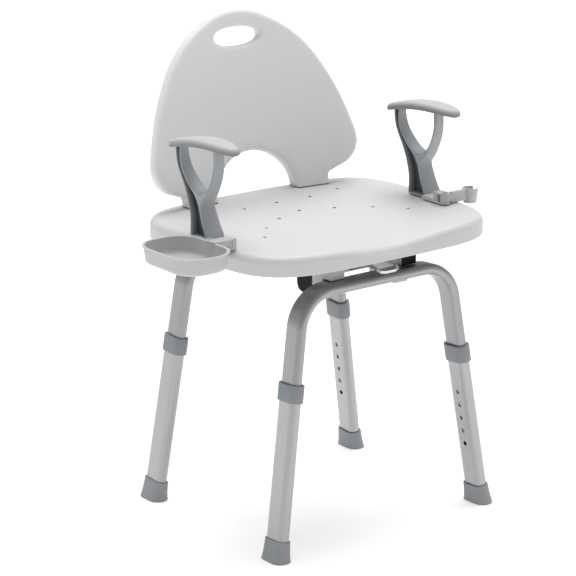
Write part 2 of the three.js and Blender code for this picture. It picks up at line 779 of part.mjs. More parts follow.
// Lock lever: a steel loop that turns on a pin behind the front bar, with a fork over the lock pin
const leverInner = leverHalfWidth - leverStrip;
const leverPieces = [];
for (const sideX of sides) {
  const strip = [sideX * leverInner, sideX * leverHalfWidth].sort((a, b) => a - b);
  leverPieces.push(
    box(...strip, -leverBendY, -leverPinY + gap, leverArmZ, leverArmZ + leverTall),
    box(...strip, -leverPinY - leverCheekFront, -leverPinY + leverCheekBack, leverTailZ,
      lowerPlateZ - housingWall));
}
leverPieces.push(box(-leverHalfWidth, leverHalfWidth, -leverForkStart - leverCheekFront, -leverForkEnd,
  leverTailZ, leverTailZ + leverTailStrip));
const lipRound = leverHalfWidth / 2;
const lipCorner = lipRound * cornerShare;
const outerLip = [
  [leverHalfWidth, overlap], [leverHalfWidth, lipRound - leverLip],
  [leverHalfWidth - lipCorner, lipCorner - leverLip], [lipRound, -leverLip],
];
const innerLip = [
  [lipRound, leverStrip - leverLip], [leverInner - lipCorner, lipCorner + leverStrip - leverLip],
  [leverInner, lipRound - leverLip], [leverInner, overlap],
];
const otherSide = (points) => points.map(([x, y]) => [-x, y]);
const lipShape = new THREE.Shape(points2d([
  ...otherSide(outerLip), ...outerLip.slice().reverse(), ...innerLip.slice().reverse(),
  ...otherSide(innerLip),
]));
const lip = new THREE.ExtrudeGeometry(lipShape, { depth: leverTall, bevelEnabled: false });
leverPieces.push(solid(moved(lip, [0, -leverBendY, leverArmZ], [Math.atan(leverLipSlope), 0, 0])));
const leverFork = box(-lockPinRadius - 2 * gap, lockPinRadius + 2 * gap, -leverForkStart, 0,
  leverTailZ - overlap, leverTailZ + leverTailStrip + overlap);
const leverBore = crossRod(leverPinRadius + gap, -leverHalfWidth - overlap, leverHalfWidth + overlap,
  -leverPinY, leverPinZ);
mesh("lock_lever", cut(join(...leverPieces), leverFork, solid(leverBore)), steel, frames);
mesh("lever_pin", solid(crossRod(leverPinRadius, -lugReach - overlap, lugReach + overlap, -leverPinY,
  leverPinZ)), steel, frames);

// Lock pin, its spring and the bracket that holds them
const stopZ = upperPlateZ - stopHeight;
const lockPinTop = stopZ + lockEngage;
const collarPinTop = leverTailZ - leverPlay;
const collarPinZ = collarPinTop - lockCollarHeight;
mesh("lock_pin", join(
  rod(lockPinRadius, 0, -lockRadius, collarPinZ, lockPinTop),
  rod(lockCollarRadius, 0, -lockRadius, collarPinZ, collarPinTop),
  rod(lockStemRadius, 0, -lockRadius, housingFloorZ, collarPinZ + overlap)), steel, frames);

const housingInner = leverHalfWidth + housingClear;
const housingTop = lowerPlateZ - gap;
const housing = cut(
  box(-housingInner - housingWall, housingInner + housingWall, -lockRadius - housingHalfDepth,
    -lockRadius + housingHalfDepth, housingFloorZ, housingTop),
  box(-housingInner, housingInner, -lockRadius - 2 * housingHalfDepth, -lockRadius + 2 * housingHalfDepth,
    housingFloorZ + housingWall, housingTop + overlap),
  rod(lockStemRadius + gap, 0, -lockRadius, housingFloorZ - overlap, housingFloorZ + housingWall + overlap));
mesh("lock_housing", housing, steel, frames);

const springStart = housingFloorZ + housingWall + gap + lockSpringWire;
const springRise = collarPinZ - gap - lockSpringWire - springStart;
class SpringPath extends THREE.Curve {
  getPoint(t) {
    const angle = 2 * Math.PI * lockSpringTurns * t;
    return new THREE.Vector3(lockSpringRadius * Math.cos(angle),
      lockSpringRadius * Math.sin(angle) - lockRadius, springStart + springRise * t);
  }
}
const wire = new THREE.Shape(superellipse(lockSpringWire, lockSpringWire, 2, hexSides));
mesh("lock_spring", solid(new THREE.ExtrudeGeometry(wire, {
  steps: lockSpringSteps,
  extrudePath: new SpringPath(),
})), steel, frames);

// Everything that turns with the seat
const turning = groupIn(bathSeat, "seat_group");

let upperPlate = rod(upperPlateRadius, 0, 0, upperPlateZ, upperPlateTop, ringSteps);
for (let quarter = 0; quarter < 4; quarter += 1) {
  for (const side of sides) {
    const near = lockPinRadius + gap;
    const across = [side * near, side * (near + stopWidth)].sort((a, b) => a - b);
    const stop = boxGeometry(...across, lockRadius - stopHalfDepth, lockRadius + stopHalfDepth, stopZ,
      upperPlateZ + overlap);
    upperPlate = join(upperPlate, solid(moved(stop, [0, 0, 0], [0, 0, quarter * quarterTurn])));
  }
}
const throughPlate = (radius, x, y, steps) => rod(radius + gap, x, y, upperPlateZ - overlap,
  upperPlateTop + overlap, steps);
upperPlate = cut(upperPlate, throughPlate(swivelBoltRadius, 0, 0));
const screwPlaces = sides.flatMap((sx) => sides.map((sy) => [sx * screwPlace, sy * screwPlace]));
screwPlaces.forEach(([x, y], k) => {
  upperPlate = cut(upperPlate, throughPlate(screwRadius, x, y, boltSteps));
  const headTop = upperPlateZ - gap;
  mesh(`seat_screw_${k + 1}`, join(
    rod(boltHeadRadius, x, y, headTop - screwHeadHeight, headTop, headSteps),
    rod(screwRadius, x, y, headTop - screwHeadHeight / 2, bossZ + screwReach, boltSteps)), steel, turning);
});
mesh("upper_swivel_plate", upperPlate, steel, turning);

// Seat shell: the top dips a little and rolls down in the middle of the front edge
const rollBaseZ = seatBottomZ + seatRound;
const rollTopZ = seatTopZ - seatDeck - seatDip;
function seatPlace(x, y, z) {
  const upShare = THREE.MathUtils.clamp((z - rollBaseZ) / (rollTopZ - rollBaseZ), 0, 1);
  const dip = seatDip * Math.max(0, 1 - (x / seatHalfX) ** 2) * Math.max(0, 1 - (y / seatHalfY) ** 2);
  const ramp = THREE.MathUtils.clamp((rollDepth - seatHalfY - y) / rollDepth, 0, 1);
  const roll = rollDrop * Math.exp(-((x / rollHalfWidth) ** 2)) * ramp ** 2;
  return [x, y + seatCentreY, z - upShare * (dip + roll)];
}
const seatOutline = superellipse(seatHalfX, seatHalfY, seatPower, seatSteps);
const deckShares = [0.9, 0.72, 0.4, 0];
const pocketShares = [0.7, 0];
const shell = solid(formedBody(seatOutline, [
  { share: 0, z: seatBottomZ },
  { z: seatBottomZ },
  { z: seatTopZ - seatRound },
  ...roundedEdge(seatRound, seatTopZ - seatRound, true, seatRoundSteps),
  ...deckShares.map((share) => ({ share, inset: seatRound, z: seatTopZ })),
], seatPlace));
let pocket = solid(formedBody(superellipse(seatHalfX, seatHalfY, seatPower, pocketSteps), [
  { share: 0, z: seatBottomZ - overlap },
  { inset: seatWall, z: seatBottomZ - overlap },
  { inset: seatWall, z: seatTopZ - seatRound },
  { inset: seatWall + seatRound / 2, z: seatTopZ - seatDeck },
  ...pocketShares.map((share) => ({ share, inset: seatRound, z: seatTopZ - seatDeck })),
], seatPlace));
for (const x of ribX) {
  pocket = cut(pocket, box(x - ribThick / 2, x + ribThick / 2, -seatHalfX, seatHalfX, 0, seatTopZ));
}
for (const y of ribY) {
  pocket = cut(pocket, box(-seatHalfX, seatHalfX, y - ribThick / 2, y + ribThick / 2, 0, seatTopZ));
}

// Sockets in the seat for the arm tenons and the backrest tabs
const backMatrix = new THREE.Matrix4().makeRotationX(-backLean).setPosition(0, backY, seatTopZ);
function backBend(x) {
  return -backBow * (x / backBowWidth) ** 2;
}
function tabPrism(sideX, margin, low, high) {
  const front = [];
  const back = [];
  for (let i = 0; i <= tabSteps; i += 1) {
    const x = sideX * (tabInner - margin + ((tabOuter - tabInner + 2 * margin) * i) / tabSteps);
    front.push([x, backBend(x) - margin]);
    back.unshift([x, backBend(x) + tabThick + margin]);
  }
  return solid(prism(points2d([...front, ...back]), low, high).applyMatrix4(backMatrix));
}
const socketBottom = -tabDepth - gap;
for (const sideX of sides) {
  const tenonX = sideX * armX;
  const outerX = tenonHalfX + gap + socketWall;
  const outerY = tenonHalfY + gap + socketWall;
  pocket = cut(pocket,
    box(tenonX - outerX, tenonX + outerX, tenonCentreY - outerY, tenonCentreY + outerY,
      seatTopZ - tenonDepth - socketWall, seatTopZ),
    tabPrism(sideX, gap + socketWall, socketBottom - socketWall, 0));
}
let seat = cut(shell, pocket);
for (const sideX of sides) {
  const tenonX = sideX * armX;
  const holeX = tenonHalfX + gap;
  const holeY = tenonHalfY + gap;
  seat = cut(seat,
    box(tenonX - holeX, tenonX + holeX, tenonCentreY - holeY, tenonCentreY + holeY,
      seatTopZ - tenonDepth - gap, seatTopZ + overlap),
    tabPrism(sideX, gap, socketBottom, tabDepth));
}
const deckLowZ = seatTopZ - seatDeck;
for (const [x, y] of screwPlaces) {
  seat = join(seat, rod(bossRadius, x, y, bossZ, deckLowZ - overlap, headSteps));
}
seat = cut(seat, rod(hubRadius, 0, 0, seatBottomZ - overlap, bossZ + boltHexHeight + overlap, hubSteps));
for (const [x, y] of screwPlaces) {
  seat = cut(seat, rod(screwRadius + gap, x, y, bossZ - overlap, bossZ + screwReach + gap, boltSteps));
}
const drains = drainHoles.flatMap(([x, y]) => (x ? [[x, y], [-x, y]] : [[x, y]]));
for (const [x, y] of drains) {
  seat = cut(seat, rod(drainRadius, x, y, seatBottomZ - overlap, seatTopZ + overlap, drainSteps));
}
mesh("seat_shell", seat, white, turning);

// Backrest: one bowed slab with a hand hole, an arch between the tabs and two tabs
const smoothHalf = new THREE.SplineCurve(points2d(backHalf)).getSpacedPoints(backSmoothSteps);
const tabOutline = points2d([[tabOuter, 0], [tabOuter, -tabDepth], [tabInner / 2, -tabDepth]]);
const backRight = [...smoothHalf, ...tabOutline];
const backLeft = backRight.slice(1).map((point) => new THREE.Vector2(-point.x, point.y));
const backOutline = [...backRight, ...backLeft.reverse()].reverse();
const backShares = [0.8, 0.45, 0];
const backPlace = (x, s, depth) => [x, backBend(x) + depth, s];
const backStations = [
  ...[...backShares].reverse().map((share) => ({ share, inset: backRound, z: 0 })),
  { inset: backRound, z: 0 },
  { inset: backRound * cornerShare, z: backRound * cornerShare },
  { inset: 0, z: backRound },
  { inset: 0, z: backThick - backRound },
  { inset: backRound * cornerShare, z: backThick - backRound * cornerShare },
  { inset: backRound, z: backThick },
  ...backShares.map((share) => ({ share, inset: backRound, z: backThick })),
];
const slab = solid(formedBody(backOutline, backStations, backPlace, backCentre).applyMatrix4(backMatrix));
const archLow = -2 * tabDepth;
const throughRod = (outline) => {
  const geometry = new THREE.ExtrudeGeometry(new THREE.Shape(outline), {
    depth: 4 * backThick,
    bevelEnabled: false,
  });
  moved(geometry, [0, 0, -2 * backThick]);
  return solid(moved(geometry, [0, 0, 0], [quarterTurn, 0, 0]).applyMatrix4(backMatrix));
};
const archOutline = [new THREE.Vector2(tabInner, archLow)];
for (let i = 0; i <= archSteps; i += 1) {
  const angle = (Math.PI * i) / archSteps;
  const rise = archCentre + archRadius * Math.sin(angle);
  archOutline.push(new THREE.Vector2(archRadius * Math.cos(angle), rise));
}
archOutline.splice(1, 0, new THREE.Vector2(tabInner, archCentre));
archOutline.push(new THREE.Vector2(-tabInner, archCentre), new THREE.Vector2(-tabInner, archLow));
const handHole = stadium(handHoleHalfX, handHoleHalfY, handHoleSteps).map(
  (point) => new THREE.Vector2(point.x, point.y + handHoleHeight));
const underSeatTop = box(-seatHalfX, seatHalfX, 0, 2 * seatHalfY, seatBottomZ - backThick, seatTopZ + gap);
let backrest = cut(slab, underSeatTop, throughRod(archOutline), throughRod(handHole));
for (const sideX of sides) {
  backrest = join(backrest, tabPrism(sideX, 0, -tabDepth, backRound));
}
mesh("backrest", backrest, white, turning);

// Arm posts and pads
const postHalf = (rise) => postBaseHalf + ((postTopHalf - postBaseHalf) * rise) / postTopHeight;
function widened(outline, inner, outer) {
  const geometry = sidePrism(points2d(outline), 0, 1);
  const position = geometry.getAttribute("position");
  for (let v = 0; v < position.count; v += 1) {
    const rise = position.getZ(v);
    const limits = [inner(rise), outer(rise)];
    position.setX(v, limits[Math.round(position.getX(v))]);
  }
  return geometry;
}
const padLength = padRearY - padFrontY;
const padCentreY = (padRearY + padFrontY) / 2;
function padPlace(x, y, z) {
  const line = padRearRise + ((padFrontRise - padRearRise) * (padRearY - padCentreY - y)) / padLength;
  const arch = padArch * (1 - ((2 * y) / padLength) ** 2);
  const crown = padCrown * (x / padHalfX) ** 2;
  return [x, y + padCentreY, z + seatTopZ + line + arch - crown];
}
const padOutline = superellipse(padHalfX, padLength / 2, padPower, padSteps);
const padShares = [0.6, 0];
const padFlat = padThick / 2 - padRound;
const padStations = [
  ...[...padShares].reverse().map((share) => ({ share, inset: padRound, z: -padThick / 2 })),
  { inset: padRound, z: -padThick / 2 },
  ...roundedEdge(padRound, -padFlat, false, padRoundSteps).reverse().slice(1),
  { z: -padFlat },
  { z: padFlat },
  ...roundedEdge(padRound, padFlat, true, padRoundSteps),
  ...padShares.map((share) => ({ share, inset: padRound, z: padThick / 2 })),
];
const cutterStations = [
  ...[...padShares].reverse().map((share) => ({ share, inset: padRound, z: -padThick / 2 - gap })),
  { inset: padRound, z: -padThick / 2 - gap },
  { inset: -gap, z: -padThick / 2 - gap },
  { inset: -gap, z: 2 * padThick },
  ...padShares.map((share) => ({ share, inset: 0, z: 2 * padThick })),
];
for (const sideX of sides) {
  const wing = sideX < 0 ? "left" : "right";
  const at = [sideX * armX, 0, 0];
  const atSeat = [sideX * armX, 0, seatTopZ + gap];
  let post = solid(moved(widened(postProfile, (z) => -postHalf(z), postHalf), atSeat));
  for (const face of sides) {
    const low = (z) => face * (postHalf(z) - grooveDepth);
    const high = (z) => face * (postHalf(z) + grooveDepth);
    post = cut(post, solid(moved(widened(groovePath, low, high), atSeat)));
  }
  for (const [y0, y1, rise] of postBosses) {
    const bossTop = seatTopZ + rise + 2 * postBossHeight;
    post = join(post, solid(moved(boxGeometry(-postBossHalfX, postBossHalfX, y0, y1,
      seatTopZ + rise - postBossHeight / 2, bossTop), at)));
  }
  const tenonTop = seatTopZ + gap + overlap;
  post = join(post, solid(moved(boxGeometry(-tenonHalfX, tenonHalfX, tenonCentreY - tenonHalfY,
    tenonCentreY + tenonHalfY, seatTopZ - tenonDepth, tenonTop), at)));
  post = cut(post, solid(moved(formedBody(padOutline, cutterStations, padPlace), at)));
  mesh(`${wing}_arm_post`, post, armGrey, turning);
  mesh(`${wing}_arm_pad`, solid(moved(formedBody(padOutline, padStations, padPlace), at)), padGrey, turning);
}

// Soap dish with its block on the seat edge and a clip beside the left post
const dishOutline = roundedRectangle(dishHalfX, dishHalfY, dishCorner);
const dishBottom = dishRimZ - dishDepth;
const bowl = solid(moved(formedBody(dishOutline, [
  { share: 0, z: dishBottom },
  { inset: dishRim + dishDraft + dishRound, z: dishBottom },
  { inset: dishRim + dishDraft, z: dishBottom + dishRound * (1 - cornerShare) },
  { inset: dishRim, z: dishRimZ - dishRim },
  { inset: 0, z: dishRimZ - dishRim },
  { inset: 0, z: dishRimZ },
  { inset: dishRim + dishWall, z: dishRimZ },
  { inset: dishRim + dishDraft + dishWall, z: dishBottom + dishRound },
  { inset: dishRim + dishDraft + dishRound, z: dishBottom + dishWall },
  { share: 0, z: dishBottom + dishWall },
]), [dishX, dishY, 0]));
const dishInnerX = -dishX - dishHalfX;
const clipNearX = armX + postBaseHalf + gap;
const jawFront = postProfile[0][0] - gap;
const jawBack = postProfile[1][0] + gap;
const clipTop = clipZ + clipHeight;
const dish = join(bowl,
  box(-dishInnerX - dishWallEmbed, -dishBlockInnerX, -dishBlockFrontY, -dishBlockFrontY + dishBlockDepth,
    clipZ, dishBlockTopZ),
  box(-dishInnerX - dishWallEmbed, -clipNearX, -dishWebFrontY, -dishWebBackY, clipZ, clipTop),
  box(-clipNearX - clipArmWall, -clipNearX, -dishBlockFrontY, -dishArmBackY, clipZ, clipTop),
  box(-clipNearX - clipArmWall, -clipNearX + clipReach, jawFront - clipWall, jawFront, clipZ, clipTop));
mesh("soap_dish", dish, trayGrey, turning);

// Shower holder: a clip pushed onto the right post from the front, with a turning arm
const holderJaw = postBaseHalf + gap;
const lugLowTop = holderLowZ + holderLugThick;
const lugHighZ = holderTopZ - holderLugThick;
const clip = cut(join(
  rod(holderLugRadius, holderX, holderY, holderLowZ, lugLowTop, hubSteps),
  rod(holderLugRadius, holderX, holderY, lugHighZ, holderTopZ, hubSteps),
  box(holderX - holderLugRadius, holderX + holderLugRadius, holderY, holderY + 2 * holderWebStart,
    holderLowZ, lugLowTop),
  box(holderX - holderLugRadius, holderX + holderLugRadius, holderY, holderY + 2 * holderWebStart,
    lugHighZ, holderTopZ),
  box(holderX - holderLugRadius, holderX + holderLugRadius, holderY + holderWebStart,
    holderY + 2 * holderWebStart, holderLowZ, holderTopZ),
  box(holderX - holderLugRadius, holderX + holderLugRadius, holderY + holderWebStart,
    holderY + holderWebEnd + clipWall, clipZ, clipTop),
  box(holderX - holderLugRadius, armX + holderJaw + clipWall, jawFront - 2 * clipWall,
    jawFront, clipZ, clipTop),
  box(armX + holderJaw, armX + holderJaw + clipWall, jawFront - clipWall, jawBack, clipZ, clipTop)),
rod(holderPinRadius + gap, holderX, holderY, holderLowZ - overlap, holderTopZ + overlap, pinSteps));
mesh("shower_holder_clip", clip, trayGrey, turning);

const holder = groupIn(turning, "shower_holder", [holderX, holderY, 0]);
const hubLow = lugLowTop + gap;
const hubHigh = lugHighZ - gap;
const barStart = holderLugRadius + holderBarClear;
let holderArm = join(
  rod(holderHubRadius, 0, 0, hubLow, hubHigh, hubSteps),
  box(0, barStart + overlap, -holderBarHalf, holderBarHalf, hubLow, hubHigh),
  box(barStart, socketX, -holderBarHalf, holderBarHalf, holderLowZ, holderTopZ),
  rod(socketBottomRadius, socketX, 0, socketLowZ, socketHighZ, hubSteps, socketTopRadius));
holderArm = cut(holderArm,
  rod(holderPinRadius + gap, 0, 0, hubLow - overlap, hubHigh + overlap, pinSteps),
  rod(socketBottomRadius - socketWallThick, socketX, 0, socketLowZ - overlap, socketHighZ + overlap,
    hubSteps, socketTopRadius - socketWallThick),
  box(socketX, socketX + 2 * socketTopRadius, -socketSlotHalf, socketSlotHalf, socketLowZ - overlap,
    socketHighZ + overlap));
mesh("shower_holder_arm", holderArm, trayGrey, holder);
const pinHeadZ = holderTopZ + gap;
mesh("shower_holder_pin", join(
  rod(holderPinRadius, 0, 0, holderLowZ, pinHeadZ + overlap, pinSteps),
  rod(holderPinHead, 0, 0, pinHeadZ, pinHeadZ + holderPinHeadHeight, pinHeadSteps)), trayGrey, holder);

export default bathSeat;
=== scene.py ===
import math

import bmesh
import bpy
import numpy as np
from mathutils import Matrix, Vector
from mathutils.geometry import delaunay_2d_cdt


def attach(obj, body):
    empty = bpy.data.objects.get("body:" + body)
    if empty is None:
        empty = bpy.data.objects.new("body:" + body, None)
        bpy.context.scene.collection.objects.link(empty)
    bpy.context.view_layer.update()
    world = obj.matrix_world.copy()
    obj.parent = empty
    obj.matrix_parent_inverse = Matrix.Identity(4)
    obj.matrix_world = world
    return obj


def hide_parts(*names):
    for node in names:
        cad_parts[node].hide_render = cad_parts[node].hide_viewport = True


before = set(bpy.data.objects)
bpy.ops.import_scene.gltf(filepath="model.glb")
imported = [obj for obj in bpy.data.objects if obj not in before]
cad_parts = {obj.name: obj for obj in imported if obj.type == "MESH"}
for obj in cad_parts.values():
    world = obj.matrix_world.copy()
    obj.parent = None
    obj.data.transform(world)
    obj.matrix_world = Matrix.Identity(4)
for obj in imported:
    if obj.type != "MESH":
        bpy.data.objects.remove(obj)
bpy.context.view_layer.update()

mm = 0.001
sides = (-1, 1)
ends = {-1: "front", 1: "rear"}
wings = {-1: "left", 1: "right"}
print("frame loaded:", len(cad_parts), "solids")

# Shapes are whole numpy arrays in millimetres, and makeMesh writes them in metres

meshing = {
    "closest": 1e-6,  # points nearer than this are one
    "tiny": 1e-9,  # keeps a division from ending at zero
    "pole": 1e-4,  # a ring shrinks to this share at a pole
    "sharp": 35,  # edges turned by more degrees stay sharp
    "rowShare": 0.866,  # distance of a face's grid rows, in spacings
    "clearShare": 0.55,  # least distance of grid points from an edge, in spacings
    "fewest": 8,  # least points on a loop
    "edgeSteps": 6,  # points across a plate's rounded edge
    "lipEase": 0.3,  # share of a pocket's lip that is cut off
}


def loopGrid(rings, closeRows=False):
    # Surface through stacked loops: vertex (i, j) is point j of ring i, each quad joins rings i and i + 1
    # and points j and j + 1, and the points of a ring wrap round
    rings = np.asarray(rings, float)
    rows, cols = rings.shape[:2]
    i, j = np.indices((rows if closeRows else rows - 1, cols))
    nextRow, nextCol = (i + 1) % rows, (j + 1) % cols
    quads = np.stack([i * cols + j, i * cols + nextCol, nextRow * cols + nextCol, nextRow * cols + j], -1)
    return rings.reshape(-1, 3), quads.reshape(-1, 4).tolist()


def cappedGrid(rings):
    # The same surface with a pole at the middle of the first and of the last ring, joined by fans
    rings = np.asarray(rings, float)
    points, faces = loopGrid(rings)
    rows, cols = rings.shape[:2]
    low, high = np.full(cols, len(points)), np.full(cols, len(points) + 1)
    j, lastRow = np.arange(cols), (rows - 1) * cols
    following = (j + 1) % cols
    fans = np.stack([low, following, j, high, lastRow + j, lastRow + following], 1).reshape(-1, 3)
    return np.vstack([points, rings[0].mean(0), rings[-1].mean(0)]), faces + fans.tolist()


def joined(*parts):
    points, faces, start = [], [], 0
    for partPoints, partFaces in parts:
        points.append(np.asarray(partPoints, float))
        faces += [[index + start for index in face] for face in partFaces]
        start += len(partPoints)
    return np.vstack(points), faces


def turned(part, matrix):
    points, faces = part
    m = np.array(matrix)
    return points @ m[:3, :3].T + m[:3, 3], faces


def finishShading(mesh, sharpAngle):
    mesh.shade_smooth()
    mesh.set_sharp_from_angle(angle=math.radians(sharpAngle))


def addObject(name, data):
    thing = bpy.data.objects.new(name, data)
    bpy.context.scene.collection.objects.link(thing)
    return thing


def makeMesh(name, part, sharpAngle=meshing["sharp"]):
    points, faces = part
    mesh = bpy.data.meshes.new(name)
    mesh.from_pydata((points * mm).tolist(), [], faces)
    work = bmesh.new()
    work.from_mesh(mesh)
    bmesh.ops.remove_doubles(work, verts=work.verts, dist=meshing["closest"])
    bmesh.ops.recalc_face_normals(work, faces=work.faces)
    work.to_mesh(mesh)
    work.free()
    finishShading(mesh, sharpAngle)
    return addObject(name, mesh)


def cutAway(piece, part, sharpAngle=meshing["sharp"]):
    # Exact difference of the piece and closed cutter shells
    cutter = makeMesh("cutter", part)
    modifier = piece.modifiers.new("cut", "BOOLEAN")
    modifier.operation = "DIFFERENCE"
    modifier.solver = "EXACT"
    modifier.object = cutter
    evaluated = piece.evaluated_get(bpy.context.evaluated_depsgraph_get())
    mesh = bpy.data.meshes.new_from_object(evaluated)
    piece.modifiers.clear()
    piece.data = mesh
    bpy.data.objects.remove(cutter)
    finishShading(mesh, sharpAngle)


def setMaterial(piece, material):
    piece.data.materials.clear()
    piece.data.materials.append(material)


def place(piece, body, slotName, look, *nodes):
    setMaterial(piece, looks[look])
    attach(piece, body)
    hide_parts(*nodes)


def atHeight(flat, z):
    # Flat points lifted to one height
    return np.column_stack([flat, np.full(len(flat), z)])


def directions(angle):
    # Rows of (cosine, sine)
    return np.stack([np.cos(angle), np.sin(angle)], 1)


def circle(steps):
    # Directions at equal angles all round
    return directions(np.linspace(0, 2 * math.pi, steps, endpoint=False))


def stadium(halfX, halfY, steps=16):
    # Two half circles joined by straights along the longer half size
    radius, offset = min(halfX, halfY), abs(halfY - halfX)
    arc = (0, offset) + radius * directions(np.linspace(0, math.pi, steps + 1))
    loop = np.vstack([arc, -arc])
    return loop if halfY > halfX else loop[:, ::-1] * (1, -1)


def superellipse(halfX, halfY, power, steps):
    # Radius (|cos/halfX|^power + |sin/halfY|^power)^(-1/power) at each angle
    c, s = circle(steps).T
    radius = (np.abs(c / halfX) ** power + np.abs(s / halfY) ** power) ** (-1 / power)
    return np.stack([radius * c, radius * s], 1)


def roundedRectangle(halfX, halfY, corner, steps=8):
    # Four quarter circles round the corner centres
    turn = np.linspace(0, 1, steps + 1)
    quarters = []
    for quarter, (sx, sy) in enumerate([(1, 1), (-1, 1), (-1, -1), (1, -1)]):
        centre = sx * (halfX - corner), sy * (halfY - corner)
        quarters.append(centre + corner * directions((quarter + turn) * math.pi / 2))
    return np.vstack(quarters)


def drawnIn(loop, inset):
    # Each point of a loop moved by inset along the normal on its left side
    along = np.roll(loop, -1, 0) - np.roll(loop, 1, 0)
    along /= np.maximum(np.linalg.norm(along, axis=1, keepdims=True), meshing["tiny"])
    return loop + np.stack([-along[:, 1], along[:, 0]], 1) * np.reshape(inset, (-1, 1))


def formed(outline, stations, bend=None):
    # Closed body over an outline: each station (share, inset, z) draws the outline in, scales it about the
    # origin and lifts it, and bend moves the points that come out
    rings = []
    for share, inset, z in stations:
        rings.append(atHeight(drawnIn(outline, inset) * max(share, meshing["pole"]), z))
    rings = np.array(rings)
    return cappedGrid(bend(rings) if bend else rings)


def roundUp(radius, z, steps, inset=0.0):
    # Stations of a quarter circle from an upright wall over to a level face
    angle = np.linspace(0, math.pi / 2, steps + 1)[1:]
    return [(1, inset + radius * (1 - math.cos(a)), z + radius * math.sin(a)) for a in angle]


block = {"corner": 2.0, "edge": 1.0, "cornerSteps": 5, "edgeSteps": 3}


def roundedBlock(low, high, corner=block["corner"], edge=block["edge"]):
    # Rounded rectangle in plan with quarter-round top and bottom edges
    low, high = np.array(low, float), np.array(high, float)
    middle, half = (low + high) / 2, (high - low) / 2
    outline = roundedRectangle(half[0], half[1], min(corner, half[0], half[1]), block["cornerSteps"])
    above = roundUp(edge, high[2] - edge, block["edgeSteps"])
    below = [(1, inset, low[2] + high[2] - z) for _, inset, z in above]
    points, faces = formed(outline, below[::-1] + [(1, 0, low[2] + edge), (1, 0, high[2] - edge)] + above)
    return points + (middle[0], middle[1], 0), faces


def cylinder(start, end, radius, steps=20):
    # Circle carried from one point to another
    start, end = np.array(start, float), np.array(end, float)
    turn = Vector(end - start).to_track_quat("Z", "Y").to_matrix()
    ring = atHeight(circle(steps) * radius, 0) @ np.array(turn).T
    return cappedGrid([ring + start, ring + end])


def insideLoop(points, loop):
    # Even-odd rule, all points at once
    x, y = points[:, :1], points[:, 1:]
    a, b = loop, np.roll(loop, -1, 0)
    crosses = (a[:, 1] > y) != (b[:, 1] > y)
    with np.errstate(divide="ignore", invalid="ignore"):
        at = a[:, 0] + (y - a[:, 1]) * (b[:, 0] - a[:, 0]) / (b[:, 1] - a[:, 1])
    return (np.sum(crosses & (x < at), 1) % 2) == 1


def insideFace(points, outer, holes):
    return insideLoop(points, outer) & ~np.any([insideLoop(points, hole) for hole in holes], 0)


def filledFace(outer, holes, spacing):
    # Triangles between one outer loop and its holes, with a staggered grid of points inside
    low, high = outer.min(0), outer.max(0)
    x = np.arange(low[0], high[0], spacing)
    y = np.arange(low[1], high[1], spacing * meshing["rowShare"])
    gx, gy = np.meshgrid(x, y)
    gx = gx + (np.arange(len(y)) % 2)[:, None] * spacing / 2
    grid = np.stack([gx.ravel(), gy.ravel()], 1)
    grid = grid[insideFace(grid, outer, holes)]
    edgePoints = np.vstack([outer, *holes])
    nearest = np.min(np.linalg.norm(grid[:, None] - edgePoints[None], axis=2), 1)
    grid = grid[nearest > spacing * meshing["clearShare"]]
    edges, start = [], 0
    for loop in [outer, *holes]:
        count = len(loop)
        edges += [(start + k, start + (k + 1) % count) for k in range(count)]
        start += count
    every = [Vector(point) for point in np.vstack([edgePoints, grid])]
    points, _, triangles, _, _, _ = delaunay_2d_cdt(every, edges, [], 0, meshing["closest"])
    points, triangles = np.array(points), np.array(triangles)
    return points, triangles[insideFace(points[triangles].mean(1), outer, holes)]


def plate(outer, holes, edge, bend, spacing, pockets=(), lip=0.0, holeEdge=0.0):
    # Flat plate with rounded edges, whose loops all keep the material on their left. bend(flat, side, depth)
    # gives the place of flat points on the side -1 or 1, depth below that face. A pocket is a recess in both
    # faces with an upright wall and a floor, and for its floor bend gets the depth None.
    parts = []
    angle = np.linspace(0, math.pi / 2, meshing["edgeSteps"])
    for loop, radius in [(outer, edge), *[(hole, holeEdge) for hole in holes]]:
        rings = [bend(drawnIn(loop, radius * (1 - math.sin(a))), side, radius * (1 - math.cos(a)))
                 for side, turn in [(-1, angle), (1, angle[::-1])] for a in turn]
        parts.append(loopGrid(rings))
    ease = lip * meshing["lipEase"]
    wall = [(lip, 0.0), (ease, ease), (0.0, lip), (0.0, None)]
    inner = [drawnIn(hole, holeEdge) for hole in holes] + [drawnIn(pocket, lip) for pocket in pockets]
    for side in sides:
        flat, triangles = filledFace(drawnIn(outer, edge), inner, spacing)
        parts.append((bend(flat, side, 0.0), triangles.tolist()))
        for pocket in pockets:
            parts.append(loopGrid([bend(drawnIn(pocket, inset), side, depth) for inset, depth in wall]))
            flat, triangles = filledFace(pocket[::-1], [], spacing)
            parts.append((bend(flat, side, None), triangles.tolist()))
    return joined(*parts)


def evenSteps(loop, spacing):
    # Points at equal steps along a closed loop
    path = np.vstack([loop, loop[:1]])
    length = np.concatenate([[0], np.cumsum(np.linalg.norm(np.diff(path, axis=0), axis=1))])
    at = np.linspace(0, length[-1], max(meshing["fewest"], int(length[-1] / spacing)), endpoint=False)
    return np.stack([np.interp(at, length, path[:, 0]), np.interp(at, length, path[:, 1])], 1)


def cornered(points, spacing, rounds=2):
    # Corner cutting keeps straights straight and rounds each corner, then equal steps
    p = np.asarray(points, float)
    for _ in range(rounds):
        following = np.roll(p, -1, 0)
        p = np.stack([0.75 * p + 0.25 * following, 0.25 * p + 0.75 * following], 1).reshape(-1, 2)
    return evenSteps(p, spacing)


# Materials: colour, roughness and grain vary with noise on Object coordinates, in metres

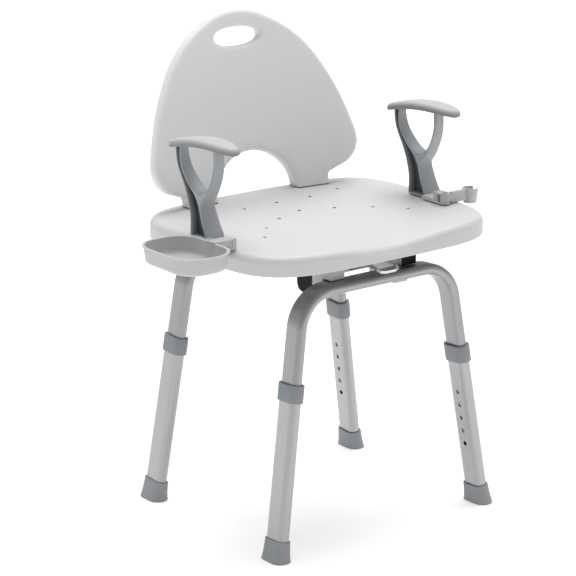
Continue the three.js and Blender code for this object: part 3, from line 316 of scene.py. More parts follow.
surface = {
    "cloudScale": 9.0, "roughness": 0.5, "specular": 0.4, "grain": 0.10, "grainScale": 900.0,
    "cloudDetail": 3.0, "grainDetail": 2.0, "grainDepth": 0.0002, "drawnDepth": 0.0001,
    "roughScale": 60.0, "roughSpread": 0.04, "noiseLow": 0.3, "noiseHigh": 0.7,
}


def startMaterial(name):
    material = bpy.data.materials.new(name)
    material.use_nodes = True
    tree = material.node_tree
    return material, tree, tree.nodes["Principled BSDF"]


def setInputs(tree, node, values):
    # Each value is a plain one or the output of another node, which is linked
    for name, value in values.items():
        if isinstance(value, bpy.types.NodeSocket):
            tree.links.new(value, node.inputs[name])
        else:
            node.inputs[name].default_value = value


def addNode(tree, kind, values):
    node = tree.nodes.new(kind)
    setInputs(tree, node, values)
    return node


def noiseOn(tree, scale, detail=surface["cloudDetail"], stretch=(1, 1, 1)):
    coordinate = tree.nodes.new("ShaderNodeTexCoord")
    mapping = addNode(tree, "ShaderNodeMapping", {"Vector": coordinate.outputs["Object"], "Scale": stretch})
    noise = addNode(tree, "ShaderNodeTexNoise", {
        "Vector": mapping.outputs["Vector"], "Scale": scale, "Detail": detail})
    return noise.outputs["Fac"]


def rangeOf(tree, value, low, high, fromLow=surface["noiseLow"], fromHigh=surface["noiseHigh"]):
    # From low to high as the value goes from fromLow to fromHigh
    ramp = addNode(tree, "ShaderNodeMapRange", {
        "Value": value, "From Min": fromLow, "From Max": fromHigh, "To Min": low, "To Max": high})
    return ramp.outputs["Result"]


def mixColours(tree, value, first, second):
    # From first to second as the value goes from 0 to 1; first is a colour or another node's output
    mix = tree.nodes.new("ShaderNodeMix")
    mix.data_type = "RGBA"
    first = (*first, 1) if isinstance(first, tuple) else first
    setInputs(tree, mix, {"Factor": value, "A": first, "B": (*second, 1)})
    return mix.outputs["Result"]


def variedColour(tree, value, look):
    # The look's colour, darker by its variation where the value is low
    darker = tuple(np.array(look["colour"]) * (1 - look["variation"]))
    return mixColours(tree, rangeOf(tree, value, 0, 1), darker, look["colour"])


def addGrain(tree, value, strength, distance):
    bump = addNode(tree, "ShaderNodeBump", {"Height": value, "Strength": strength, "Distance": distance})
    return bump.outputs["Normal"]


def betweenPlanes(tree, axis, middle, half):
    # One where an Object coordinate lies within half of the middle, both in metres, and zero elsewhere
    coordinate = tree.nodes.new("ShaderNodeTexCoord")
    split = addNode(tree, "ShaderNodeSeparateXYZ", {"Vector": coordinate.outputs["Object"]})
    compare = addNode(tree, "ShaderNodeMath", {0: split.outputs[axis], 1: middle, 2: half})
    compare.operation = "COMPARE"
    return compare.outputs["Value"]


def spreadRoughness(tree, value, look):
    low, high = look["roughness"] - look["roughSpread"], look["roughness"] + look["roughSpread"]
    return rangeOf(tree, value, low, high)


def plastic(name, **given):
    # Cloudy colour, a fine grain and, where they are given, a painted shade colour that a point attribute
    # mixes in and a band of another colour, which is a painted shadow line on the backrest and a grey patch
    # on the rails
    look = {**surface, **given}
    material, tree, shader = startMaterial(name)
    colours = variedColour(tree, noiseOn(tree, look["cloudScale"]), look)
    # Painted shade: the dark colour is mixed in where the point attribute rises
    if "deep" in look:
        paintedShade = tree.nodes.new("ShaderNodeAttribute")
        paintedShade.attribute_name = "paintedShade"
        colours = mixColours(tree, paintedShade.outputs["Fac"], colours, look["deep"])
    # On the backrest the band is a painted shadow line; on the rails it is the colour of a grey part
    if "band" in look:
        colours = mixColours(tree, betweenPlanes(tree, *look["band"]), colours, look["bandColour"])
    fine = noiseOn(tree, look["grainScale"], look["grainDetail"])
    setInputs(tree, shader, {
        "Base Color": colours, "Specular IOR Level": look["specular"],
        "Roughness": spreadRoughness(tree, noiseOn(tree, look["roughScale"]), look),
        "Normal": addGrain(tree, fine, look["grain"], look["grainDepth"])})
    return material


def brushedMetal(name, **look):
    # One noise, stretched along the drawing, varies the colour, the roughness and the grain
    material, tree, shader = startMaterial(name)
    drawn = noiseOn(tree, look["grainScale"], surface["grainDetail"], look["stretch"])
    setInputs(tree, shader, {
        "Base Color": variedColour(tree, drawn, look), "Metallic": 1.0,
        "Roughness": spreadRoughness(tree, drawn, look),
        "Normal": addGrain(tree, drawn, look["grain"], surface["drawnDepth"])})
    return material


blackRail = {
    "colour": (0.010, 0.010, 0.011), "variation": 0.10, "specular": 0.08, "grain": 0.15, "grainScale": 800.0,
    "bandColour": (0.50, 0.50, 0.50),
}
satin = {
    "variation": 0.02, "roughness": 0.38, "roughSpread": 0.01, "grain": 0.004, "grainScale": 500.0,
    "stretch": (1, 1, 0.03),
}
looks = {
    "white": plastic("white moulded plastic", colour=(0.56, 0.56, 0.56), variation=0.012),
    # Painted light and shade: the backrest is a lighter copy of the seat's white plastic, and its dark band
    # is a painted shadow line where the tabs enter the seat
    "back": plastic(
        "white backrest plastic", colour=(0.71, 0.71, 0.71), variation=0.012, band=("Z", 0.5136, 0.0010),
        bandColour=(0.10, 0.10, 0.10)),
    # The arm's dark colour is painted shade in the recesses of the posts
    "arm": plastic(
        "grey arm plastic", colour=(0.34, 0.355, 0.37), variation=0.03, roughness=0.45, grain=0.12,
        grainScale=1100.0, deep=(0.085, 0.10, 0.12)),
    # The pad's dark colour is painted shade on its underside and sides
    "pad": plastic(
        "light grey pad plastic", colour=(0.46, 0.463, 0.466), variation=0.05, cloudScale=500.0,
        roughness=0.6, grain=0.30, grainScale=700.0, deep=(0.20, 0.203, 0.207)),
    "tray": plastic("grey tray plastic", colour=(0.49, 0.49, 0.494), variation=0.02, roughness=0.48),
    "collar": plastic("grey collar plastic", colour=(0.235, 0.254, 0.274), variation=0.03, grain=0.15),
    "rubber": plastic(
        "grey rubber", colour=(0.30, 0.316, 0.328), variation=0.06, roughness=0.70, specular=0.25,
        grain=0.40, grainScale=650.0),
    "leftRail": plastic(
        "black rail plastic with a grey front saddle", **blackRail, band=("Y", -0.134, 0.027)),
    "rightRail": plastic("black rail plastic with a grey side", **blackRail, band=("Y", -0.104, 0.049)),
    "ring": plastic(
        "slippery ring plastic", colour=(0.66, 0.66, 0.65), variation=0.03, roughness=0.35, grain=0.05,
        grainScale=800.0),
    "aluminium": brushedMetal("satin aluminium", **satin, colour=(0.335, 0.335, 0.339)),
    # Painted light: the lower legs take a lighter copy of the satin aluminium, making up for shade under the
    # seat
    "paintedLightAluminium": brushedMetal("satin aluminium lightened as painted light", **satin, colour=(0.40, 0.40, 0.404)),
    "steel": brushedMetal(
        "zinc plated steel", colour=(0.62, 0.62, 0.63), variation=0.06, roughness=0.26, roughSpread=0.05,
        grain=0.05, grainScale=300.0, stretch=(1, 1, 1)),
}
print("materials made:", len(looks))

# Leg frame: the bar and both legs of a frame lie in one leaning plane

legs = {
    "spacingX": 440, "spacingY": 356, "splayX": 0.151, "splayY": 0.0481, "barHeight": 437, "bendRadius": 66,
    "tubeHalfX": 9.5, "tubeHalfY": 21, "tubeWall": 1.5, "lowerWall": 1.2, "gap": 0.3, "bendSteps": 28,
    "lowerStart": 8, "tubeEnd": 122, "lowerEnd": 290,
    "holes": 5, "holeCentre": 160.9, "holePitch": 24.2, "holeRadius": 4.0,
}
collar = {"start": 266, "top": 296, "wall": 3.4, "edge": 1.3, "edgeSteps": 5, "lead": 0.8}
foot = {
    "top": 34.5, "wall": 2.9, "flare": 6.5, "flarePower": 1.6, "flareStart": 2, "below": 8, "heights": 14,
    "rimBelow": 1.0, "rimEase": 0.3, "mouth": 0.9, "lead": 0.6, "ovalSteps": 20, "sharp": 50,
}
gap = legs["gap"]
tiltY = math.atan(legs["splayY"])
tiltX = math.atan(legs["splayX"] * math.cos(tiltY))
barY = legs["spacingY"] / 2 - legs["splayY"] * legs["barHeight"]
cornerX = legs["spacingX"] / 2 - legs["splayX"] * legs["barHeight"]
footDrop = legs["barHeight"] / math.cos(tiltY)
legLength = footDrop / math.cos(tiltX)
lowerHalfX = legs["tubeHalfX"] + gap + legs["lowerWall"]
lowerHalfY = legs["tubeHalfY"] + gap + legs["lowerWall"]


def frameMatrix(sideY):
    # From the upright plane of a frame, with the middle of its bar at the origin, to where it leans
    return Matrix.Translation((0, sideY * barY, legs["barHeight"])) @ Matrix.Rotation(sideY * tiltY, 4, "X")


def legMatrix(sideX, sideY):
    # From a leg that stands upright on the origin to where it is in its frame
    corner = Matrix.Translation((sideX * legs["spacingX"] / 2, 0, -footDrop))
    return frameMatrix(sideY) @ corner @ Matrix.Rotation(-sideX * tiltX, 4, "Y")


def bentTube():
    # Oval section carried along leg, bend, bar, bend and leg; the wall's inner face comes back the same way
    bendAngle = math.pi / 2 - tiltX
    direction = np.array([-math.sin(tiltX), 0, math.cos(tiltX)])
    corner = np.array([cornerX, 0, 0])
    start = corner - direction * legs["bendRadius"] * math.tan(bendAngle / 2)
    centre = start - np.array([math.cos(tiltX), 0, math.sin(tiltX)]) * legs["bendRadius"]
    angle = tiltX + bendAngle * np.linspace(0, 1, legs["bendSteps"] + 1)
    outward = np.stack([np.cos(angle), 0 * angle, np.sin(angle)], 1)
    lowEnd = corner + direction * (legs["tubeEnd"] - legLength)
    half = np.vstack([lowEnd, centre + outward * legs["bendRadius"]])
    normal = np.vstack([outward[:1], outward])
    mirror = np.array([-1, 1, 1])
    path = np.vstack([half, (half * mirror)[::-1]])
    normal = np.vstack([normal, (normal * mirror)[::-1]])
    wide = np.array([0, 1, 0])
    rings = []
    for wall in (0, legs["tubeWall"]):
        section = stadium(legs["tubeHalfX"] - wall, legs["tubeHalfY"] - wall)
        sweep = path[:, None] + normal[:, None] * section[None, :, :1] + wide * section[None, :, 1:]
        rings.append(sweep if wall == 0 else sweep[::-1])
    return loopGrid(np.vstack(rings), closeRows=True)


def ringRound(profile, steps=16):
    # Closed profile of (distance outside the lower leg's oval, height) carried round that oval
    return [atHeight(stadium(lowerHalfX + offset, lowerHalfY + offset, steps), u) for offset, u in profile]


def lowerLegPart():
    # Oval tube: up the outer wall and back down the inner one
    wall, low, high = legs["lowerWall"], legs["lowerStart"], legs["lowerEnd"]
    return loopGrid(ringRound([(-wall, low), (0, low), (0, high), (-wall, high)]), closeRows=True)


def legHoles(sideX):
    # Cutters through the wall that faces the middle of the seat
    middle = (legs["holes"] - 1) / 2
    heights = [legs["holeCentre"] + (k - middle) * legs["holePitch"] for k in range(legs["holes"])]
    across = -sideX * 2 * lowerHalfX
    return joined(*[cylinder((0, 0, u), (across, 0, u), legs["holeRadius"]) for u in heights])


def collarPart():
    # Rounded band on the leg's end. Above the leg its bore steps in, to the same gap round the frame tube.
    edge, wall, start, top = collar["edge"], collar["wall"], collar["start"], collar["top"]
    angle = np.linspace(0, math.pi / 2, collar["edgeSteps"])
    low = [(wall - edge + edge * math.sin(a), start + edge - edge * math.cos(a)) for a in angle]
    high = [(wall - edge + edge * math.cos(a), top - edge + edge * math.sin(a)) for a in angle]
    tube, lead, step = -legs["lowerWall"], collar["lead"], legs["lowerEnd"] + gap
    bore = [(tube + lead, top), (tube, top - lead), (tube, step), (gap, step), (gap, start)]
    return loopGrid(ringRound(low + high + bore), closeRows=True)


def footPart(matrix):
    # The outer wall eases from the flare at the floor to the rim, and the sole lies in the floor plane
    wall, top = foot["wall"], foot["top"]
    u = np.linspace(-foot["below"], top - foot["rimBelow"], foot["heights"])
    share = np.clip((u + foot["flareStart"]) / top, 0, 1)
    offset = wall + (foot["flare"] - wall) * (1 - share) ** foot["flarePower"]
    outer = list(zip(offset, u))
    rim = [(wall - foot["rimEase"], top - foot["rimEase"]), (wall - foot["rimBelow"], top),
           (foot["mouth"], top), (gap, top - foot["lead"]), (gap, legs["lowerStart"] - gap)]
    points, faces = turned(cappedGrid(ringRound(outer + rim, foot["ovalSteps"])), matrix)
    axis = np.array(matrix)[:3, 2]
    under = points[:, 2] < 0
    points[under] -= axis * (points[under, 2:] / axis[2])
    return points, faces


def makeLeg(sideX, sideY):
    key = f"{ends[sideY]}_{wings[sideX]}"
    title = f"{ends[sideY]}{wings[sideX].title()}"
    matrix = legMatrix(sideX, sideY)
    leg = makeMesh(f"{title}Leg", turned(lowerLegPart(), matrix))
    cutAway(leg, turned(legHoles(sideX), matrix))
    place(leg, f"{key}_leg", "aluminium", "paintedLightAluminium", f"{key}_lower_leg")
    ring = makeMesh(f"{title}Collar", turned(collarPart(), matrix))
    place(ring, f"{key}_leg", "collar_plastic", "collar", f"{key}_collar")
    tip = makeMesh(f"{title}Tip", footPart(matrix), foot["sharp"])
    place(tip, f"{key}_leg", "rubber", "rubber", f"{key}_foot")


for sideY in sides:
    tube = makeMesh(f"{ends[sideY]}BentTube", turned(bentTube(), frameMatrix(sideY)))
    place(tube, "base", "aluminium", "aluminium", f"{ends[sideY]}_frame_tube")
    for sideX in sides:
        makeLeg(sideX, sideY)
print("frames, legs, collars and tips made")

# Seat: a shell with ribs below, drains through it, and sockets for the backrest and the arms

seat = {
    "halfX": 254, "halfY": 207.5, "centreY": -2.9, "power": 4.28, "bottom": 481, "top": 514, "round": 13,
    "wall": 3.2, "deck": 3.6, "lip": 0.8, "sharp": 40,
    "outlineSteps": 320, "wallSteps": 6, "deckSteps": 40, "roundSteps": 12, "innerRoundSteps": 6,
    "dip": 4, "rollDrop": 15, "rollHalfWidth": 88, "rollDepth": 80, "rollBase": 9,
    "rib": 2.6, "ribSteps": 40, "ribRise": 0.6, "ribSink": 0.8, "ribEnd": 1, "hub": 16,
    "ribX": (-175.3, -102.9, -35.1, 35.1, 102.9, 175.3), "ribY": (-140.1, -69.9, 0, 69.9, 140.1),
    "drain": 3.5, "drainBelow": 5, "drainAbove": 9,
    "drains": ((0, 110), (70.1, 107.9), (140, 119.9), (0, 46.1), (58.9, 24.1), (113, -13.1), (151.9, -61)),
    "tenonHalfX": 13, "tenonHalfY": 15, "tenonY": -10, "tenonDepth": 24, "armX": 231,
    "socketAbove": 20, "socketCorner": 1.5, "socketEdge": 0.5,
}


def seatBend(points):
    # The top sinks by dip (1 - x^2)(1 - y^2) and rolls down as a bell in the middle of the front edge
    x, y, z = points[..., 0], points[..., 1], points[..., 2]
    base = seat["bottom"] + seat["rollBase"]
    rollTop = seat["top"] - seat["deck"] - seat["dip"]
    up = np.clip((z - base) / (rollTop - base), 0, 1)
    shareX = np.clip(1 - (x / seat["halfX"]) ** 2, 0, 1)
    shareY = np.clip(1 - (y / seat["halfY"]) ** 2, 0, 1)
    dip = seat["dip"] * shareX * shareY
    ramp = np.clip((seat["rollDepth"] - seat["halfY"] - y) / seat["rollDepth"], 0, 1)
    roll = seat["rollDrop"] * np.exp(-(x / seat["rollHalfWidth"]) ** 2) * ramp ** 2
    return np.stack([x, y + seat["centreY"], z - up * (dip + roll)], -1)


def seatPart():
    # Stations up the inside from the middle of the deck's underside, over the lower edge, and up the outside
    outline = superellipse(seat["halfX"], seat["halfY"], seat["power"], seat["outlineSteps"])
    bottom, top, radius, wall, lip = seat["bottom"], seat["top"], seat["round"], seat["wall"], seat["lip"]
    heights = np.linspace(bottom + lip, top - radius, seat["wallSteps"])
    deckShares = np.linspace(1, 0, seat["deckSteps"])[1:]
    outer = [(1, lip, bottom), *[(1, 0, z) for z in heights],
             *roundUp(radius, top - radius, seat["roundSteps"]),
             *[(share, radius, top) for share in deckShares]]
    low = top - seat["deck"]
    inner = [(1, wall - lip, bottom), *[(1, wall, z) for z in heights],
             *roundUp(radius - wall, low - radius + wall, seat["innerRoundSteps"], wall),
             *[(share, radius, low) for share in deckShares]]
    return formed(outline, inner[::-1] + outer, seatBend)


def ribPart(alongX, across, low, high):
    # Upright strip under the deck: its top follows the deck's underside, its thickness is one rib
    count = seat["ribSteps"]
    steps = np.linspace(low, high, count)
    rings = []
    for side in sides:
        flat = np.stack([steps, np.full(count, across + side * seat["rib"] / 2)], 1)
        flat = flat if alongX else flat[:, ::-1]
        for z in (seat["bottom"] + seat["ribRise"], seat["top"] - seat["deck"] + seat["ribSink"]):
            rings.append(atHeight(flat, z))
    rings = np.array([rings[0], rings[1], rings[3], rings[2]]).transpose(1, 0, 2)
    return cappedGrid(seatBend(rings))


def ribReach(across, halfAlong, halfAcross):
    # Half length of a rib inside the skirt, from the superellipse
    share = (1 - (abs(across) / halfAcross) ** seat["power"]) ** (1 / seat["power"])
    return halfAlong * share - seat["wall"] - seat["ribEnd"]


def ribParts():
    # Ribs from front to rear, then from side to side, where the middle one stops at the hub
    ribs = []
    for x in seat["ribX"]:
        reach = ribReach(x, seat["halfY"], seat["halfX"])
        ribs.append(ribPart(False, x, -reach, reach))
    for y in seat["ribY"]:
        reach = ribReach(y, seat["halfX"], seat["halfY"])
        spans = [(-reach, reach)] if y else [(-reach, -seat["hub"]), (seat["hub"], reach)]
        ribs += [ribPart(True, y, *span) for span in spans]
    return joined(*ribs)


def drainCutters():
    # Upright cylinders through the deck, on both sides of the middle line or on it
    low, high = seat["bottom"] - seat["drainBelow"], seat["top"] + seat["drainAbove"]
    places = [(side * x, y) for x, y in seat["drains"] for side in (sides if x else (1,))]
    return joined(*[cylinder((x, y, low), (x, y, high), seat["drain"]) for x, y in places])


def tenonBlock(sideX, clear, top, *rounding):
    # Foot of an arm post, or with a clearance the socket that takes it
    x, y = sideX * seat["armX"], seat["tenonY"]
    halfX, halfY = seat["tenonHalfX"] + clear, seat["tenonHalfY"] + clear
    return roundedBlock((x - halfX, y - halfY, seat["top"] - seat["tenonDepth"]), (x + halfX, y + halfY, top),
                        *rounding)


back = {
    "lean": math.radians(11), "y": 165.5, "thick": 26, "edge": 10, "bow": 24, "bowWidth": 214, "sharp": 45,
    "outlineSteps": 12, "spacing": 3.0, "faceSpacing": 9.0, "tabEdge": 3, "edgeFrom": 2, "edgeOver": 30,
    "tabInner": 90.4, "tabOuter": 149.1, "tabDepth": 24, "tabCorner": 6, "cornerSteps": 5,
    "tabClear": 1.4, "socketSteps": 8, "socketRise": 30, "archRadius": 87, "archCentre": -10, "archSteps": 26,
    "handHeight": 276, "handHalfX": 48, "handHalfY": 16, "handPower": 2.3, "handEdge": 9.5, "handSteps": 120,
    # Right half of the outline, from the top down to the tab: (x, height along the slope)
    "half": ((0, 322), (30, 319), (60, 308), (93, 290), (118, 271), (141, 247), (164, 214), (188, 168),
             (204, 125), (214, 92), (217, 72), (215, 58), (208, 44), (196, 33), (182, 27), (166, 22),
             (154, 17), (150, 8)),
}


def backPoint(flat, depth):
    # Sloping sheet: (x, height along the slope) and depth, bowed by -bow (x / width)^2
    x, s = flat[:, 0], flat[:, 1]
    y = -back["bow"] * (x / back["bowWidth"]) ** 2 + depth
    cosine, sine = math.cos(back["lean"]), math.sin(back["lean"])
    return np.stack([x, back["y"] + y * cosine + s * sine, seat["top"] + s * cosine - y * sine], 1)


def backFace(flat, side, depth):
    # Front face of the panel for side -1 and rear face for 1, with depth going inwards from it
    return backPoint(flat, np.where(side < 0, 0, back["thick"]) - side * depth)


def curveThrough(right):
    # Catmull-Rom curve through the points, whose first point lies on the mirror line
    t = np.linspace(0, 1, back["outlineSteps"], endpoint=False)[:, None, None]
    before, here = np.vstack([right[1:2] * (-1, 1), right[:-2]]), right[:-1]
    after, later = right[1:], np.vstack([right[2:], right[-1:]])
    curve = 0.5 * (2 * here + (after - before) * t + (2 * before - 5 * here + 4 * after - later) * t ** 2
                   + (3 * here - before - 3 * after + later) * t ** 3)
    return curve.transpose(1, 0, 2).reshape(-1, 2)


def tabOutline():
    # Down the outer side of the tab, round its two corners and up to the arch
    corner, low = back["tabCorner"], -back["tabDepth"] + back["tabCorner"]
    turn = np.linspace(0, math.pi / 2, back["cornerSteps"])
    outer = [(back["tabOuter"] - corner + corner * math.cos(a), low - corner * math.sin(a)) for a in turn]
    inner = [(back["tabInner"] + corner - corner * math.sin(a), low - corner * math.cos(a)) for a in turn]
    return [(back["tabOuter"], 0)] + outer + inner


def backPart():
    # Outline: right half from the top down to the tab, round it, up and over the arch, and mirrored
    right = np.array(back["half"], float)
    angle = np.linspace(0, math.pi / 2, back["archSteps"])
    arch = (0, back["archCentre"]) + back["archRadius"] * directions(angle)
    half = np.vstack([curveThrough(right), right[-1:], tabOutline(), arch])
    loop = np.vstack([half, (half[1:-1] * (-1, 1))[::-1]])
    loop = evenSteps(loop, back["spacing"])[::-1]
    share = np.clip((loop[:, 1] - back["edgeFrom"]) / back["edgeOver"], 0, 1)
    edge = back["tabEdge"] + (back["edge"] - back["tabEdge"]) * share
    hand = superellipse(back["handHalfX"], back["handHalfY"], back["handPower"], back["handSteps"])
    hand = evenSteps(hand[::-1], back["spacing"]) + (0, back["handHeight"])
    return plate(loop, [hand], edge, backFace, back["faceSpacing"], holeEdge=back["handEdge"])


def tabSocket(sideX):
    # Socket for a tab of the backrest, a little wider than the tab
    clear, count = back["tabClear"], back["socketSteps"]
    x = np.linspace(back["tabInner"] - clear, back["tabOuter"] + clear, count) * sideX
    rings = []
    for s in (-back["tabDepth"] - gap, back["socketRise"]):
        flat = np.stack([x, np.full(count, s)], 1)
        front, rear = backPoint(flat, -clear), backPoint(flat, back["thick"] + clear)
        rings.append(np.vstack([front, rear[::-1]]))
    return cappedGrid(rings)


def makeSeat():
    shell = makeMesh("seatShell", seatPart(), seat["sharp"])
    cutAway(shell, drainCutters(), seat["sharp"])
    rounding = seat["socketCorner"], seat["socketEdge"]
    sockets = []
    for side in sides:
        sockets += [tenonBlock(side, gap, seat["top"] + seat["socketAbove"], *rounding), tabSocket(side)]
    cutAway(shell, joined(*sockets), seat["sharp"])
    grid = makeMesh("seatRibs", ribParts())
    place(shell, "seat", "white_plastic", "white", "seat_shell")
    place(grid, "seat", "white_plastic", "white")


makeSeat()
print("seat made")
backrest = makeMesh("backrestPanel", backPart(), back["sharp"])
place(backrest, "backrest", "white_plastic", "back", "backrest")
print("backrest made")

# Arms: a flat Y-shaped post with a recess in both faces, and a crowned pad on top

arm = {
    "baseHalf": 19, "topHalf": 8.3, "topHeight": 140, "edge": 2.4, "lip": 0.7, "recessShare": 0.85,
    "margin": 0.5, "darkening": 2, "tenonLap": 3, "spacing": 2.2, "faceSpacing": 5.0,
    # Outline of the post and of its recess, counterclockwise: (y, height above the seat)
    "outline": (
        (-33, 5), (-33, 0), (-28, 0), (8, 0), (13, 0), (13.2, 5), (14, 25), (16, 36), (21, 49), (28, 65),
        (39, 82), (54, 102), (62, 117), (66, 136), (67, 150), (52, 150), (51, 138), (50, 124), (44, 108),
        (33, 96), (19, 83), (4, 75), (-9, 73), (-17, 76), (-24, 82), (-31, 89), (-37, 103), (-41, 119),
        (-41, 131), (-39, 142), (-38, 158), (-50, 158), (-50, 141), (-49, 128), (-45, 109), (-38, 94),
        (-30, 80), (-22, 68), (-14, 60), (-12, 54), (-17, 38), (-24, 22)),
    "channel": (
        (-30, 8), (-30, 3), (-25, 3), (5, 3), (10, 3), (10.2, 8), (11, 25), (13, 37), (18, 50), (25, 66),
        (36, 84), (51, 103), (59, 117), (63, 136), (64, 147), (55, 147), (54, 137), (53, 123), (47, 106),
        (36, 94), (21, 80), (5, 69), (-6, 56), (-13, 38), (-20, 22)),
}
pad = {
    "halfX": 22, "rearY": 88, "frontY": -95, "rearRise": 137.6, "frontRise": 155, "arch": 12.5,
    "thick": 13.5, "round": 6.2, "crown": 2.5, "power": 2.5, "endThin": 0.1, "outlineSteps": 160,
    "roundSteps": 8, "topShares": (0.8, 0.5, 0.2), "shadeFrom": 0.75, "sharp": 60,
}


def postHalf(rise):
    # The post narrows evenly from its foot up to the pad
    return arm["baseHalf"] + (arm["topHalf"] - arm["baseHalf"]) * rise / arm["topHeight"]


def postFace(sideX):
    # Flat (y, height) set out from the post's middle plane by its half thickness less the depth
    def bend(flat, side, depth):
        rise = flat[:, 1]
        half = postHalf(rise)
        depth = half * arm["recessShare"] if depth is None else depth
        x = sideX * seat["armX"] + side * (half - depth)
        return np.stack([x, flat[:, 0], seat["top"] + gap + rise], 1)
    return bend


def markWith(piece, name, values):
    attribute = piece.data.attributes.new(name, "FLOAT", "POINT")
    attribute.data.foreach_set("value", np.asarray(values, np.float32))


def paintRecessShade(piece, sideX, channel):
    # Painted shade: a point attribute, 0 at a face of the post and rising to 1 at the floor of its recess,
    # darkens the arm's colour there
    points = np.empty(len(piece.data.vertices) * 3)
    piece.data.vertices.foreach_get("co", points)
    points = points.reshape(-1, 3) / mm - (sideX * seat["armX"], 0, seat["top"] + gap)
    half = postHalf(points[:, 2])
    inside = insideLoop(points[:, 1:], drawnIn(channel, arm["margin"]))
    below = (half - np.abs(points[:, 0]) - arm["lip"]) / (half * arm["recessShare"] - arm["lip"])
    markWith(piece, "paintedShade", np.where(inside, np.clip(below * arm["darkening"], 0, 1), 0))


def paintUndersideShade(piece):
    # Painted shade: a point attribute, 0 where the surface faces up and 1 where it faces down, darkens the
    # pad's colour underneath
    normals = np.empty(len(piece.data.vertices) * 3, np.float32)
    piece.data.vertices.foreach_get("normal", normals)
    markWith(piece, "paintedShade", np.clip(pad["shadeFrom"] - normals[2::3], 0, 1))


def padBend(sideX):
    length = pad["rearY"] - pad["frontY"]
    middle = (pad["rearY"] + pad["frontY"]) / 2

    def bend(points):
        # The middle line is a straight rise plus an arch, the top falls away to both sides, and the
        # underside rises towards both ends
        x, y, z = points[..., 0], points[..., 1], points[..., 2]
        z = np.where(z < 0, z * (1 - pad["endThin"] * (2 * y / length) ** 2), z)
        line = pad["rearRise"] + (pad["frontRise"] - pad["rearRise"]) * (pad["rearY"] - middle - y) / length
        lift = line + pad["arch"] * (1 - (2 * y / length) ** 2) - pad["crown"] * (x / pad["halfX"]) ** 2
        return np.stack([x + sideX * seat["armX"], y + middle, z + seat["top"] + lift], -1)
    return bend


def padPart(sideX):
    # The same stations above and below the middle of the pad's thickness
    halfThick, length = pad["thick"] / 2, pad["rearY"] - pad["frontY"]
    flat = halfThick - pad["round"]
    top = [(1, 0, flat), *roundUp(pad["round"], flat, pad["roundSteps"]),
           *[(share, pad["round"], halfThick) for share in pad["topShares"]]]
    stations = [(share, inset, -z) for share, inset, z in top[::-1]] + top
    outline = superellipse(pad["halfX"], length / 2, pad["power"], pad["outlineSteps"])
    return formed(outline, stations, padBend(sideX))


def makeArm(sideX):
    wing = wings[sideX]
    outline = cornered(arm["outline"], arm["spacing"])
    channel = cornered(arm["channel"], arm["spacing"])[::-1]
    post = plate(outline, [], arm["edge"], postFace(sideX), arm["faceSpacing"], [channel], arm["lip"])
    body = makeMesh(f"{wing}Post", joined(post, tenonBlock(sideX, 0, seat["top"] + arm["tenonLap"])))
    # Painted shade in the recesses of the post
    paintRecessShade(body, sideX, channel)
    place(body, f"{wing}_arm", "arm_plastic", "arm", f"{wing}_arm_post")
    cushion = makeMesh(f"{wing}Pad", padPart(sideX), pad["sharp"])
    # Painted shade under the pad
    paintUndersideShade(cushion)
    place(cushion, f"{wing}_arm", "pad_plastic", "pad", f"{wing}_arm_pad")


for sideX in sides:
    makeArm(sideX)
print("arms made")

# Soap dish: a bowl, a block at its side, and a clip that reaches round the foot of the left post

dish = {
    "x": -331.5, "y": -93, "halfX": 53, "halfY": 76.5, "corner": 44, "rimZ": 532, "depth": 30, "wall": 2.3,
    "rim": 2.6, "draft": 2.6, "round": 7, "cornerSteps": 14, "roundSteps": 8,
    "floorShares": (0.75, 0.5, 0.25),
    # Points round the rim, from its underside to the inside of the bowl: (inset, depth below its top)
    "rimEdge": ((2.6, 2.6), (0.8, 2.6), (0.2, 2.0), (0, 1.4), (0.3, 0.4), (1.2, 0), (3.2, 0), (4.9, 0.9)),
    "blockInner": 239, "blockFront": 104, "blockDepth": 20, "blockTop": 534, "blockSetIn": 2.4,
    "capHeight": 3, "endWall": 8, "lap": 1, "blockCorner": 2.5, "blockEdge": 0.8, "embed": 6.6,
    "clipZ": 515, "clipHeight": 6, "clipNear": 250.3, "clipWall": 4, "clipArmWall": 9, "clipReach": 12,
    "jawFront": -33.3, "armBack": -10, "webFront": -80, "webBack": -50,
}


def bowlPart():
    # Bowl: outside up to the rim's underside, round the rim, and down the inside to the floor
    outline = roundedRectangle(dish["halfX"], dish["halfY"], dish["corner"], dish["cornerSteps"])
    radius, wall, bottom = dish["round"], dish["wall"], dish["rimZ"] - dish["depth"]
    inset = dish["rim"] + dish["draft"]

    def corner(thick):
        # Quarter circle from the wall down to the floor
        return [(1, inset + thick + radius * (1 - math.sin(a)), bottom + thick + radius * (1 - math.cos(a)))
                for a in np.linspace(0, math.pi / 2, dish["roundSteps"])]

    outer, inner = corner(0), corner(wall)
    rim = [(1, across, dish["rimZ"] - below) for across, below in dish["rimEdge"]]
    floor = [(share, inset + wall + radius, bottom + wall) for share in dish["floorShares"]]
    under = [(share, inset + radius, bottom) for share in dish["floorShares"][::-1]]
    points, faces = formed(outline, under + outer + rim + inner[::-1] + floor)
    return points + (dish["x"], dish["y"], 0), faces


